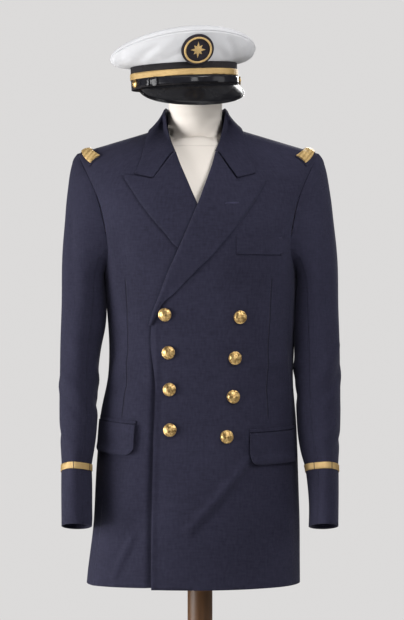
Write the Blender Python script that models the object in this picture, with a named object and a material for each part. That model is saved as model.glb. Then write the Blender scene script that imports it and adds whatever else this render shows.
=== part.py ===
"""Naval uniform: a double-breasted coat and a peaked cap on a dress form.

Metres, +Z up. The coat faces -Y and +X is the wearer's left. The origin is
on the floor, under the middle of the round base that the form stands on.
"""
import math
from typing import Callable, NamedTuple, Sequence

import bmesh
import bpy
import numpy as np
from mathutils import Matrix, Vector

# Cloth and seams
WALL = 0.002
SEAM_GAP = 0.0004
SEAM_TURN = math.radians(0.08)
RADIAL_STEP = 15

# Heights of the coat
HEM = 0.614
UNDER_HEM_RISE = 0.006
ARMPIT = 1.19
SHOULDER_TIP = 1.405
SHOULDER_SLOPE = 0.30
RIDGE_DEPTH = 0.012
ROUNDING = 2.6
MEASURE_STEP = 0.0001
SEARCH_STEP, SEARCH_HALVINGS = 0.04, 18

LEFT, RIGHT = 1, -1


class BodyRow(NamedTuple):
    """A level ring round the coat: its height, middle and reach each way."""
    height: float
    centre: float
    half_width: float
    front: float
    back: float
    squareness: float


BODY = (
    BodyRow(0.614, -0.0124, 0.1968, 0.138, 0.136, 2.25),
    BodyRow(0.720, -0.0062, 0.1906, 0.134, 0.130, 2.25),
    BodyRow(0.830, -0.0050, 0.1860, 0.128, 0.122, 2.25),
    BodyRow(0.910, -0.0040, 0.1815, 0.122, 0.114, 2.30),
    BodyRow(0.980, 0.0000, 0.1750, 0.118, 0.105, 2.30),
    BodyRow(1.050, 0.0030, 0.1713, 0.118, 0.101, 2.30),
    BodyRow(1.120, 0.0020, 0.1740, 0.123, 0.107, 2.35),
    BodyRow(1.190, 0.0000, 0.1790, 0.128, 0.116, 2.40),
    BodyRow(1.250, -0.0020, 0.1860, 0.128, 0.121, 2.50),
    BodyRow(1.300, -0.0030, 0.1960, 0.124, 0.121, 2.70),
    BodyRow(1.350, -0.0037, 0.2100, 0.118, 0.117, 3.00),
    BodyRow(1.405, -0.0037, 0.2230, 0.112, 0.110, 3.30),
)


class FoldRow(NamedTuple):
    """A soft fold of the skirt, from its upper to its lower end."""
    upper_turn: float
    upper_height: float
    lower_turn: float
    lower_height: float
    width: float
    rise: float


FOLDS = (
    FoldRow(24, 0.86, -12, 0.70, 0.045, 0.0045),
    FoldRow(40, 0.84, 30, 0.62, 0.050, -0.0040),
    FoldRow(-38, 0.80, -62, 0.62, 0.045, 0.0045),
    FoldRow(-60, 1.10, -88, 0.98, 0.030, -0.0035),
    FoldRow(62, 1.08, 92, 0.97, 0.030, -0.0035),
    FoldRow(140, 0.92, 150, 0.62, 0.055, 0.0050),
    FoldRow(-128, 0.90, -146, 0.62, 0.050, 0.0045),
    FoldRow(172, 1.08, 158, 0.98, 0.030, 0.0035),
)


class EdgeRow(NamedTuple):
    """How far a front reaches from the closing line; less than 0 is past it."""
    height: float
    reach: float


FRONT_EDGE = (
    EdgeRow(0.614, -0.0827), EdgeRow(0.720, -0.0815), EdgeRow(0.834, -0.0794), EdgeRow(0.913, -0.0775),
    EdgeRow(0.966, -0.0745), EdgeRow(1.000, -0.0775), EdgeRow(1.045, -0.0841), EdgeRow(1.080, -0.0830),
    EdgeRow(1.098, -0.0806), EdgeRow(1.123, -0.0717), EdgeRow(1.168, -0.0555), EdgeRow(1.213, -0.0358),
    EdgeRow(1.258, -0.0161), EdgeRow(1.296, 0.0000), EdgeRow(1.352, 0.0220), EdgeRow(1.386, 0.0347),
    EdgeRow(1.412, 0.0430), EdgeRow(1.450, 0.0700),
)
CLOSING_LOW = (1.296, -0.0035)
CLOSING_HIGH = (1.450, -0.0096)
OVERLAP_LIFT = 0.0032
LAPEL_LIFT = 0.0057


class HoleRow(NamedTuple):
    """The armhole, by bearing: 0 at the shoulder, 90 in front, 180 below."""
    bearing: float
    turn: float
    height: float


ARMHOLE = (
    HoleRow(0, 90, 1.405), HoleRow(30, 77, 1.388), HoleRow(60, 65, 1.336), HoleRow(90, 62.4, 1.276),
    HoleRow(120, 64, 1.224), HoleRow(150, 75, 1.193), HoleRow(180, 92, 1.183), HoleRow(210, 107, 1.195),
    HoleRow(240, 116, 1.228), HoleRow(270, 118.5, 1.280), HoleRow(300, 115.5, 1.340), HoleRow(330, 103, 1.388),
    HoleRow(360, 90, 1.405),
)
FRONT_SEAM_BEARING = 135
BACK_SEAM_BEARING = 240
FRONT_SEAM_HEM_TURN = 64
BACK_SEAM_HEM_TURN = 122


class NeckRow(NamedTuple):
    """The back neckline, from the centre back seam to the shoulder seam."""
    share: float
    turn: float
    height: float


BACK_NECK = (
    NeckRow(0.0, 180.0, 1.228), NeckRow(0.25, 180.0, 1.296), NeckRow(0.50, 180.0, 1.352),
    NeckRow(0.75, 180.0, 1.3835), NeckRow(0.875, 175.5, 1.393), NeckRow(1.0, 171.5, 1.405),
)


class SleeveRow(NamedTuple):
    """A section across the sleeve; lean tips its front edge up, press is its inner side's reach to the body."""
    height: float
    centre_x: float
    centre_y: float
    half_width: float
    half_depth: float
    lean: float
    left_press: float
    right_press: float


SLEEVE = (
    SleeveRow(1.160, 0.2185, 0.002, 0.0370, 0.073, 0.00, 0.0028, 0.0038),
    SleeveRow(1.100, 0.2210, -0.002, 0.0355, 0.069, 0.02, 0.0085, 0.0105),
    SleeveRow(1.020, 0.2230, -0.010, 0.0350, 0.066, 0.07, 0.0110, 0.0020),
    SleeveRow(0.940, 0.2240, -0.024, 0.0345, 0.063, 0.13, 0.0100, 0.0),
    SleeveRow(0.880, 0.2250, -0.037, 0.0310, 0.061, 0.17, 0.0120, 0.0),
    SleeveRow(0.838, 0.2280, -0.047, 0.0245, 0.060, 0.19, 0.0130, 0.0),
    SleeveRow(0.800, 0.2275, -0.055, 0.0255, 0.059, 0.19, 0.0070, 0.0),
    SleeveRow(0.755, 0.2255, -0.066, 0.0260, 0.057, 0.19, 0.0010, 0.0),
    SleeveRow(0.715, 0.2245, -0.075, 0.0270, 0.056, 0.19, 0.0, 0.0),
)
SLEEVE_SEAM_BACK = -105
SLEEVE_SEAM_FRONT = 120
SLEEVE_GAP = 0.0006
HEAD_ROWS = 5
ARM_LEVELS = (1.160, 1.120, 1.070, 1.015, 0.960, 0.910, 0.870, 0.8320, 0.8175, 0.770, 0.722)
STRIPE_LOW, STRIPE_HIGH = 0.8190, 0.8305
STRIPE_LIFT, STRIPE_THICK = 0.0004, 0.0010


class CollarRow(NamedTuple):
    """A rib of the collar, from the centre back to the front end."""
    share: float
    base_x: float
    base_y: float
    base_z: float
    fold_x: float
    fold_y: float
    fold_z: float
    edge_x: float
    edge_y: float
    edge_z: float
    bulge: float


COLLAR = (
    CollarRow(0.00, 0.0000, 0.0665, 1.4440, 0.0000, 0.0680, 1.4800, 0.0000, 0.0790, 1.4230, 0.003),
    CollarRow(0.20, 0.0360, 0.0580, 1.4460, 0.0300, 0.0620, 1.4815, 0.0480, 0.0740, 1.4220, 0.003),
    CollarRow(0.36, 0.0590, 0.0370, 1.4530, 0.0470, 0.0410, 1.4850, 0.0735, 0.0500, 1.4320, -0.004),
    CollarRow(0.48, 0.0640, 0.0130, 1.4570, 0.0550, 0.0110, 1.4885, 0.0800, 0.0170, 1.4440, -0.007),
    CollarRow(0.60, 0.0635, -0.0120, 1.4540, 0.0555, -0.0180, 1.4760, 0.0855, -0.0180, 1.4310, -0.005),
    CollarRow(0.76, 0.0550, -0.0400, 1.4360, 0.0520, -0.0430, 1.4490, 0.0925, -0.0540, 1.4110, 0.000),
    CollarRow(0.88, 0.0455, -0.0535, 1.4200, 0.0460, -0.0595, 1.4250, 0.0980, -0.0700, 1.3870, 0.000),
    CollarRow(1.00, 0.0372, -0.0640, 1.4040, 0.0385, -0.0735, 1.4040, 0.1085, -0.0850, 1.3610, 0.000),
)
COLLAR_MIDDLE = -0.0085
COLLAR_RIBS = 10
COLLAR_DIP = 0.029
COLLAR_NOTCH = 0.525
COLLAR_AXIS_DEPTH = 0.010
COLLAR_WALL = 0.002
COLLAR_HANG = 0.0024
STAND_LEAVES = (1.0, 0.5, 0.12)
FALL_LEAVES = (0.0, 0.12, 0.3, COLLAR_NOTCH, 0.78, 1.0)


class LapelRow(NamedTuple):
    """A rib of the lapel, from its foot on the front edge to the gorge."""
    fold_z: float
    edge_reach: float
    edge_z: float
    dip: float


LAPEL = (
    LapelRow(1.088, -0.0785, 1.0940, 0.0),
    LapelRow(1.105, -0.0675, 1.1190, 0.0),
    LapelRow(1.135, -0.0480, 1.1400, 0.0),
    LapelRow(1.170, -0.0120, 1.1760, 0.0),
    LapelRow(1.210, 0.0300, 1.2190, 0.0),
    LapelRow(1.250, 0.0615, 1.2560, 0.0),
    LapelRow(1.290, 0.0890, 1.2890, 0.0),
    LapelRow(1.330, 0.1110, 1.3220, 0.003),
    LapelRow(1.366, 0.1250, 1.3450, 0.013),
    LapelRow(1.4005, 0.1300, 1.3545, 0.0335),
)
LAPEL_NOTCH = 0.4
LAPEL_SHIFT = -0.0045
LAPEL_LEAN = 0.045
UNDER_LAPEL_FOOT = 0.42
FOOT_LIFT = 0.0005
LAPEL_RIBS = 13


class LeafRow(NamedTuple):
    """A station across a lapel: share of its width, reach past the fold, lift."""
    share: float
    beyond: float
    lift: float


LEAF = (
    LeafRow(0.00, 0.0017, -0.0010), LeafRow(0.00, 0.0026, 0.0012), LeafRow(0.00, 0.0018, 0.0034),
    LeafRow(0.04, 0.0, 0.0044), LeafRow(0.20, 0.0, 0.0040), LeafRow(LAPEL_NOTCH, 0.0, 0.0032),
    LeafRow(0.70, 0.0, 0.0026), LeafRow(1.00, 0.0, 0.0024),
)


class PocketRow(NamedTuple):
    """A hip pocket: its side, its inner and outer turn, and its heights."""
    side: int
    inner_turn: float
    outer_turn: float
    inner_top: float
    outer_top: float
    depth: float


HIP_POCKETS = (
    PocketRow(LEFT, 27.0, 74.0, 0.893, 0.897, 0.058),
    PocketRow(RIGHT, 34.5, 79.0, 0.908, 0.915, 0.056),
)
FLAP_CORNER = 0.018
FLAP_LIFT, FLAP_THICK = 0.0012, 0.0024
JET_HEIGHT, JET_GAP = 0.0060, 0.0010
JET_LIFT, JET_THICK = 0.0009, 0.0013
WELT_INNER, WELT_OUTER = 0.0640, 0.1480
WELT_LOW, WELT_HIGH = 1.2150, 1.2470
WELT_LIFT, WELT_THICK = 0.0005, 0.0020


class ButtonRow(NamedTuple):
    """Where a coat button sits on the front."""
    x: float
    z: float


COAT_BUTTONS = (
    ButtonRow(-0.0620, 1.1070), ButtonRow(-0.0558, 1.0385), ButtonRow(-0.0540, 0.9720), ButtonRow(-0.0533, 0.8996),
    ButtonRow(0.0711, 1.1025), ButtonRow(0.0623, 1.0286), ButtonRow(0.0593, 0.9591), ButtonRow(0.0473, 0.8874),
)
BUTTON_RADIUS, BUTTON_HEIGHT, BUTTON_RIM = 0.0120, 0.0062, 0.0018
SHANK_RADIUS, SHANK_LENGTH = 0.0030, 0.0012
BUTTON_SIDES = 14

# Shoulder loops: a braid on a backing over each shoulder end
LOOP_REACH, LOOP_INWARD = 0.2065, 0.0190
LOOP_FRONT, LOOP_BACK, LOOP_HALF_WIDTH, LOOP_BACK_BEND = 0.045, 0.034, 0.0085, 1.15
BACKING_MARGIN = 0.0018
BACKING_LIFT, BACKING_THICK = 0.0006, 0.0014
BRAID_LIFT, BRAID_THICK, BRAID_RELIEF = 0.0024, 0.0022, 0.0013
BRAID_TURNS, BRAID_SLANT = 6, 0.8

# Cap, in its own frame: the band's lower edge lies in the plane z = 0
CAP_PLACE = Vector((-0.0283, 0.004, 1.5255))
CAP_YAW, CAP_PITCH, CAP_ROLL = math.radians(13.5), math.radians(2.3), math.radians(-2.7)
BAND_HALF_WIDTH, BAND_HALF_DEPTH, BAND_HEIGHT = 0.0985, 0.1020, 0.0415
CROWN_HALF_WIDTH, CROWN_HALF_DEPTH = 0.1355, 0.1300
CROWN_BACK_EDGE, CROWN_FRONT_RISE, CROWN_RISE_POWER = 0.0618, 0.0434, 2.0
CROWN_BELLY, CROWN_MIDDLE = 0.011, 0.091
CAP_SEGMENTS = 30
LACE_LOW, LACE_HIGH, LACE_THICK = 0.0180, 0.0292, 0.0010
STRAP_LOW, STRAP_HIGH, STRAP_LIFT, STRAP_THICK = 0.0034, 0.0160, 0.0006, 0.0020
STRAP_END = math.radians(74)
KEEPERS = ((math.radians(-54.0), math.radians(1.5)), (math.radians(-45.5), math.radians(3.4)))
KEEPER_MARGIN, KEEPER_LIFT, KEEPER_THICK = 0.0015, 0.0030, 0.0020
SIDE_BUTTON_TURN, SIDE_BUTTON_RADIUS, SIDE_BUTTON_HEIGHT = math.radians(78), 0.0080, 0.0050
VISOR_END, VISOR_TOP = math.radians(67), 0.0012
VISOR_OUT, VISOR_DROP, VISOR_THICK = 0.042, 0.0365, 0.0024
VISOR_RIM_RADIUS, VISOR_RIM_GAP = 0.0016, 0.0012
BADGE_LOW, BADGE_HIGH, BADGE_HALF_WIDTH = 0.0357, 0.0882, 0.0300
BADGE_FOOT, BADGE_HEAD = 0.1030, 0.1285
PATCH_THICK, BADGE_STEP = 0.0022, 0.0004
WREATH_MIDDLE, WREATH_RADIUS = 0.80, 0.0019
STAR_POINTS, STAR_REACH, STAR_WAIST, STAR_THICK = 8, 0.54, 0.24, 0.0016

# Dress form
POLE_RADIUS = 0.0230
BASE_RADIUS, BASE_THICK, BASE_ROUND = 0.190, 0.024, 0.006
BOSS_RADIUS, BOSS_HEIGHT = 0.040, 0.020
TORSO_FOOT = 0.800
TORSO_SHOULDER_CLEARANCE, TORSO_BODY_CLEARANCE = -0.0009, 0.0080
TORSO_ARM_REACH = 0.925
NECK_HALF_WIDTH, NECK_HALF_DEPTH, NECK_DEPTH = 0.0505, 0.0530, 0.006
NECK_FOOT_SPREAD = 1.02
NECK_LEVELS = ((1.466, 1.0), (1.490, 0.98))
NECK_TOP_ROUND, NECK_TOP_DRAW, NECK_TOP_CLEARANCE = 0.022, 0.45, 0.0030
TORSO_LEVELS = (TORSO_FOOT, 0.87, 0.94, 1.01, 1.08, 1.15, 1.21, 1.26, 1.31, 1.35, 1.375)
TORSO_SEGMENTS = 24

COLOURS = {
    "navy": ((0.030, 0.029, 0.052, 1.0), 0.90, 0.0),
    "gold": ((0.62, 0.40, 0.12, 1.0), 0.35, 0.8),
    "white": ((0.82, 0.82, 0.84, 1.0), 0.75, 0.0),
    "patent": ((0.008, 0.008, 0.010, 1.0), 0.12, 0.0),
    "cream": ((0.74, 0.66, 0.56, 1.0), 0.80, 0.0),
    "wood": ((0.16, 0.07, 0.03, 1.0), 0.40, 0.0),
}


class Profile:
    """Rows of sizes, read smoothly by the value in their first column."""

    def __init__(self, rows: Sequence[NamedTuple]) -> None:
        self.row = type(rows[0])
        self.grid = np.array(sorted(rows), dtype=float)
        self.places = self.grid[:, 0]
        self.slopes = np.gradient(self.grid, self.places, axis=0)

    def at(self, place: float) -> NamedTuple:
        """Return the row at a place, by cubic curves through the given rows."""
        place = min(max(place, self.places[0]), self.places[-1])
        index = int(np.searchsorted(self.places, place, side="right")) - 1
        index = min(max(index, 0), len(self.places) - 2)
        span = self.places[index + 1] - self.places[index]
        t = (place - self.places[index]) / span
        value = ((2 * t**3 - 3 * t**2 + 1) * self.grid[index] + (t**3 - 2 * t**2 + t) * span * self.slopes[index]
                 + (3 * t**2 - 2 * t**3) * self.grid[index + 1] + (t**3 - t**2) * span * self.slopes[index + 1])
        return self.row(*value)


BODY_PROFILE = Profile(BODY)
EDGE_PROFILE = Profile(FRONT_EDGE)
HOLE_PROFILE = Profile(ARMHOLE)
NECK_PROFILE = Profile(BACK_NECK)
SLEEVE_PROFILE = Profile(SLEEVE)
COLLAR_PROFILE = Profile(COLLAR)
LAPEL_PROFILE = Profile(LAPEL)


def blend(first: float, last: float, share: float) -> float:
    """Return the value a share of the way from first to last."""
    return first + (last - first) * share


def ease(low: float, high: float, value: float) -> float:
    """Return 0 below low and 1 above high, with a soft step between."""
    share = min(max((value - low) / (high - low), 0.0), 1.0)
    return share * share * (3 - 2 * share)


def ridge_height(x: float) -> float:
    """Return the height of the shoulder line above a sideways place."""
    row = BODY[-1]
    return SHOULDER_TIP + SHOULDER_SLOPE * (row.half_width - abs(x - row.centre))


def shoulder_share(height: float) -> float:
    """Return 0 at the armpit and below, and 1 at the shoulder line."""
    return min(max((height - ARMPIT) / (SHOULDER_TIP - ARMPIT), 0.0), 1.0)


def rounding(share: float) -> float:
    """Return how much of the chest's depth is left this far up."""
    return math.sqrt(max(1.0 - share**ROUNDING, 0.0))


def fold_rise(turn: float, height: float) -> float:
    """Return how far the skirt's folds push the cloth out at a place."""
    radius = BODY_PROFILE.at(height).half_width
    rise = 0.0
    for fold in FOLDS:
        upper = Vector((math.radians(fold.upper_turn) * radius, fold.upper_height))
        lower = Vector((math.radians(fold.lower_turn) * radius, fold.lower_height))
        place = Vector((turn * radius, height))
        along = min(max((place - upper).dot(lower - upper) / (lower - upper).length_squared, 0.0), 1.0)
        distance = (place - upper.lerp(lower, along)).length
        rise += fold.rise * math.exp(-(distance / fold.width) ** 2)
    return rise


def bare_point(turn: float, height: float) -> Vector:
    """Return a point of the coat's smooth outer surface."""
    row = BODY_PROFILE.at(height)
    power = 2.0 / row.squareness
    share = shoulder_share(height)
    x = row.centre + row.half_width * math.copysign(abs(math.sin(turn)) ** power, math.sin(turn))
    reach = row.front if math.cos(turn) > 0 else row.back
    y = RIDGE_DEPTH * share**2 - reach * rounding(share) * math.copysign(abs(math.cos(turn)) ** power, math.cos(turn))
    z = height if share == 0.0 else ARMPIT + (ridge_height(x) - ARMPIT) * share
    return Vector((x, y, z))


def body_normal(turn: float, height: float) -> Vector:
    """Return the outward direction of the coat's surface."""
    step = MEASURE_STEP
    upper = min(height + step, SHOULDER_TIP)
    around = bare_point(turn + step, height) - bare_point(turn - step, height)
    upward = bare_point(turn, upper) - bare_point(turn, height - step)
    return around.cross(upward).normalized()


def body_point(turn: float, height: float, lift: float = 0.0) -> Vector:
    """Return a point of the coat at a turn from the centre front, lifted out."""
    return bare_point(turn, height) + body_normal(turn, height) * (lift + fold_rise(turn, height))


def body_place(x: float, z: float, back: bool = False) -> tuple[float, float]:
    """Return the turn and height of the coat's surface seen at x and z."""
    share = max(z - ARMPIT, 0.0) / (ridge_height(x) - ARMPIT)
    height = z if z <= ARMPIT else ARMPIT + min(share, 1.0) * (SHOULDER_TIP - ARMPIT)
    row = BODY_PROFILE.at(height)
    reach = min(abs(x - row.centre) / row.half_width, 1.0)
    turn = math.copysign(math.asin(reach ** (row.squareness / 2)), x - row.centre)
    return (math.copysign(math.pi, turn) - turn if back else turn), height


def front_point(x: float, z: float, lift: float = 0.0) -> Vector:
    """Return the point of the coat's front seen at x and z, lifted out."""
    return body_point(*body_place(x, z), lift)


def shoulder_point(x: float, y: float, lift: float = 0.0) -> Vector:
    """Return the point of the shoulder below a place in plan, lifted out."""
    back = y > RIDGE_DEPTH
    low, high = 1.0, 1.0
    while low > SEARCH_STEP and not under_shoulder(x, y, low, back):
        low, high = low - SEARCH_STEP, low
    for _ in range(SEARCH_HALVINGS):
        middle = (low + high) / 2
        low, high = (middle, high) if under_shoulder(x, y, middle, back) else (low, middle)
    z = ARMPIT + (ridge_height(x) - ARMPIT) * low
    return body_point(*body_place(x, z, back), lift)


def under_shoulder(x: float, y: float, share: float, back: bool) -> bool:
    """Return whether a place in plan is inside the coat this far up the shoulder."""
    turn, height = body_place(x, ARMPIT + (ridge_height(x) - ARMPIT) * share, back)
    row = BODY_PROFILE.at(height)
    reach = bare_point(turn, height).y
    return abs(x - row.centre) < row.half_width and (reach > y if back else reach < y)


def closing_line(z: float) -> float:
    """Return where the fronts' shared middle line lies at a height."""
    share = min(max((z - CLOSING_LOW[0]) / (CLOSING_HIGH[0] - CLOSING_LOW[0]), 0.0), 1.0)
    return blend(CLOSING_LOW[1], CLOSING_HIGH[1], share)


def front_edge_x(side: int, z: float) -> float:
    """Return where a front's edge or roll line lies at a height."""
    return closing_line(z) + side * EDGE_PROFILE.at(z).reach


def front_edge_turn(side: int, height: float) -> float:
    """Return the turn of a front's edge or roll line on a level of the coat."""
    x = front_edge_x(side, height)
    for _ in range(8):
        share = shoulder_share(height)
        z = height if share == 0.0 else ARMPIT + (ridge_height(x) - ARMPIT) * share
        x = front_edge_x(side, z)
    return body_place(x, z)[0]


def overlap_lift(x: float, z: float) -> float:
    """Return how far the upper front stands off the one below it."""
    near_middle = (1.0 - ease(0.085, 0.135, x)) * (1.0 - ease(1.30, 1.37, z))
    over_lapel = ease(1.165, 1.200, z) * (1.0 - ease(0.045, 0.095, x)) * (1.0 - ease(1.30, 1.35, z))
    return OVERLAP_LIFT * near_middle + LAPEL_LIFT * over_lapel


def hole_place(bearing: float) -> tuple[float, float]:
    """Return the turn and height of the armhole at a bearing in degrees."""
    row = HOLE_PROFILE.at(bearing % 360)
    return math.radians(row.turn), row.height


def material(colour: str, name: str) -> bpy.types.Material:
    """Make a piece's own material from a named colour."""
    base, roughness, metallic = COLOURS[colour]
    made = bpy.data.materials.new(name)
    made.use_nodes = True
    shader = made.node_tree.nodes["Principled BSDF"]
    shader.inputs["Base Color"].default_value = base
    shader.inputs["Roughness"].default_value = roughness
    shader.inputs["Metallic"].default_value = metallic
    return made


def finish(name: str, shape: bmesh.types.BMesh, colour: str, smooth: float = 50.0) -> bpy.types.Object:
    """Turn a shape into a named object with its material."""
    bmesh.ops.recalc_face_normals(shape, faces=shape.faces[:])
    if shape.calc_volume(signed=True) < 0:
        bmesh.ops.reverse_faces(shape, faces=shape.faces[:])
    mesh = bpy.data.meshes.new(name)
    shape.to_mesh(mesh)
    shape.free()
    mesh.shade_smooth()
    mesh.set_sharp_from_angle(angle=math.radians(smooth))
    mesh.materials.append(material(colour, name))
    made = bpy.data.objects.new(name, mesh)
    bpy.context.collection.objects.link(made)
    return made


PlacePoint = Callable[[float, float], Vector]


def wall(name: str, columns: int, rows: int, outer: PlacePoint, inner: PlacePoint, colour: str) -> bpy.types.Object:
    """Build a closed sheet between two surfaces over the same unit square.

    Args:
        name: The piece's name.
        columns: Faces across the sheet.
        rows: Faces up the sheet.
        outer: The outer surface, from shares across and up.
        inner: The inner surface, from shares across and up.
        colour: Which of COLOURS it has.
    """
    shape = bmesh.new()
    across = shape.verts.layers.float.new("across")
    upward = shape.verts.layers.float.new("upward")
    bmesh.ops.create_grid(shape, x_segments=columns, y_segments=rows, size=0.5)
    for vert in shape.verts:
        vert[across] = vert.co.x + 0.5
        vert[upward] = vert.co.y + 0.5
    copied = bmesh.ops.extrude_face_region(shape, geom=shape.faces[:], use_keep_orig=True)["geom"]
    inside = {item for item in copied if isinstance(item, bmesh.types.BMVert)}
    for vert in shape.verts:
        surface = inner if vert in inside else outer
        vert.co = surface(vert[across], vert[upward])
    return finish(name, shape, colour)


def sheet(name: str, columns: int, rows: int, middle: PlacePoint, thickness: float, colour: str) -> bpy.types.Object:
    """Build a sheet of even thickness about a middle surface."""
    shape = bmesh.new()
    bmesh.ops.create_grid(shape, x_segments=columns, y_segments=rows, size=0.5)
    for vert in shape.verts:
        vert.co = middle(vert.co.x + 0.5, vert.co.y + 0.5)
    made = finish(name, shape, colour)
    thicken = made.modifiers.new("thickness", "SOLIDIFY")
    thicken.thickness = thickness
    thicken.offset = 0.0
    return made


def tube(name: str, sections: Sequence[Sequence[Vector]], closed: bool, colour: str,
         smooth: float = 50.0) -> bpy.types.Object:
    """Join closed sections in turn, round into a ring or with capped ends."""
    shape = bmesh.new()
    loops = [[shape.verts.new(point) for point in section] for section in sections]
    count = len(loops[0])
    pairs = list(zip(loops, loops[1:] + loops[:1])) if closed else list(zip(loops, loops[1:]))
    for first, second in pairs:
        for k in range(count):
            shape.faces.new((first[k], first[(k + 1) % count], second[(k + 1) % count], second[k]))
    if not closed:
        shape.faces.new(loops[0])
        shape.faces.new(loops[-1])
    return finish(name, shape, colour, smooth)


def turned(name: str, profile: Sequence[tuple[float, float]], sides: int, frame: Matrix,
           colour: str) -> bpy.types.Object:
    """Turn a profile of (radius, height) pairs, both ends on the axis."""
    shape = bmesh.new()
    points = [shape.verts.new((radius, 0.0, height)) for radius, height in profile]
    edges = [shape.edges.new(pair) for pair in zip(points, points[1:])]
    bmesh.ops.spin(shape, geom=points + edges, cent=(0, 0, 0), axis=(0, 0, 1), angle=2 * math.pi,
                   steps=sides, use_merge=True)
    bmesh.ops.remove_doubles(shape, verts=shape.verts[:], dist=1e-6)
    bmesh.ops.transform(shape, matrix=frame, verts=shape.verts[:])
    return finish(name, shape, colour)


def axis_frame(place: Vector, direction: Vector) -> Matrix:
    """Return the frame at a place whose Z axis points along a direction."""
    return Matrix.Translation(place) @ direction.to_track_quat("Z", "Y").to_matrix().to_4x4()


def seam_turn(bearing: float, hem_turn: float, height: float) -> float:
    """Return the turn of a side seam at a height, from the hem to the armhole."""
    top_turn, top = hole_place(bearing)
    return blend(math.radians(hem_turn), top_turn, min((height - HEM) / (top - HEM), 1.0))


def front_panel(side: int) -> bpy.types.Object:
    """Build one front, from its edge and roll line to the side seam and armhole."""
    arm_rows = FRONT_SEAM_BEARING // RADIAL_STEP
    low_rows = 11
    _, seam_top = hole_place(FRONT_SEAM_BEARING)
    rows = low_rows + arm_rows

    def place(across: float, upward: float, lift: float) -> Vector:
        row = upward * rows
        if row <= low_rows:
            outer_height = inner_height = blend(HEM, seam_top, row / low_rows)
            outer_turn = seam_turn(FRONT_SEAM_BEARING, FRONT_SEAM_HEM_TURN, outer_height)
        else:
            share = (row - low_rows) / arm_rows
            outer_turn, outer_height = hole_place(blend(FRONT_SEAM_BEARING, 0, share))
            inner_height = blend(SHOULDER_TIP, seam_top, (1 - share) ** 2)
        inner_turn = front_edge_turn(side, inner_height)
        height = blend(inner_height, outer_height, across)
        if side == RIGHT:
            height += UNDER_HEM_RISE * (1 - across) * max(1 - row / low_rows, 0.0)
        turn = blend(inner_turn, side * (outer_turn - SEAM_TURN), across)
        point = bare_point(turn, height)
        raised = overlap_lift(point.x, point.z) if side == LEFT else 0.0
        return body_point(turn, height, lift + raised) - Vector((0, SEAM_GAP / 2, 0))

    return wall(f"coat_front_{side_name(side)}", 12 if side == LEFT else 11, rows, lambda u, v: place(u, v, 0.0),
                lambda u, v: place(u, v, -WALL), "navy")


def side_panel(side: int) -> bpy.types.Object:
    """Build one side body, under the arm between the front and the back."""
    columns = (BACK_SEAM_BEARING - FRONT_SEAM_BEARING) // RADIAL_STEP

    def place(across: float, upward: float, lift: float) -> Vector:
        bearing = blend(FRONT_SEAM_BEARING, BACK_SEAM_BEARING, across)
        top_turn, top = hole_place(bearing)
        front_turn = seam_turn(FRONT_SEAM_BEARING, FRONT_SEAM_HEM_TURN, HEM) + SEAM_TURN
        back_turn = seam_turn(BACK_SEAM_BEARING, BACK_SEAM_HEM_TURN, HEM) - SEAM_TURN
        top_turn += SEAM_TURN * (1 - 2 * across)
        height = blend(HEM, top, upward)
        return body_point(side * blend(blend(front_turn, back_turn, across), top_turn, upward), height, lift)

    return wall(f"coat_side_{side_name(side)}", columns, 11, lambda u, v: place(u, v, 0.0),
                lambda u, v: place(u, v, -WALL), "navy")


def back_panel(side: int) -> bpy.types.Object:
    """Build one half of the back, from the centre seam to the side seam and armhole."""
    arm_rows = (360 - BACK_SEAM_BEARING) // RADIAL_STEP
    low_rows = 10
    _, seam_top = hole_place(BACK_SEAM_BEARING)
    rows = low_rows + arm_rows

    def place(across: float, upward: float, lift: float) -> Vector:
        row = upward * rows
        if row <= low_rows:
            outer_height = inner_height = blend(HEM, seam_top, row / low_rows)
            outer_turn = seam_turn(BACK_SEAM_BEARING, BACK_SEAM_HEM_TURN, outer_height)
            inner_turn = math.pi
        else:
            share = (row - low_rows) / arm_rows
            outer_turn, outer_height = hole_place(min(blend(BACK_SEAM_BEARING, 360, share), 359.999))
            neck = NECK_PROFILE.at(share)
            inner_turn = math.radians(min(neck.turn, 180.0))
            inner_height = neck.height
        height = blend(inner_height, outer_height, across)
        turn = blend(inner_turn - SEAM_TURN, outer_turn + SEAM_TURN, across)
        return body_point(side * turn, height, lift) + Vector((0, SEAM_GAP / 2, 0))

    return wall(f"coat_back_{side_name(side)}", 8, rows, lambda u, v: place(u, v, 0.0),
                lambda u, v: place(u, v, -WALL), "navy")


def sleeve_section(side: int, bearing: float, height: float, lift: float) -> Vector:
    """Return a point of the sleeve below its head; bearing 0 faces outward."""
    row = SLEEVE_PROFILE.at(height)
    angle = math.radians(bearing)
    press = (row.left_press if side == LEFT else row.right_press) * max(-math.cos(angle), 0.0) ** 2
    x = row.centre_x + (row.half_width + lift) * math.cos(angle) - press
    y = row.centre_y - (row.half_depth + lift) * math.sin(angle)
    return Vector((side * x, y, height - row.lean * (y - row.centre_y)))


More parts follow.
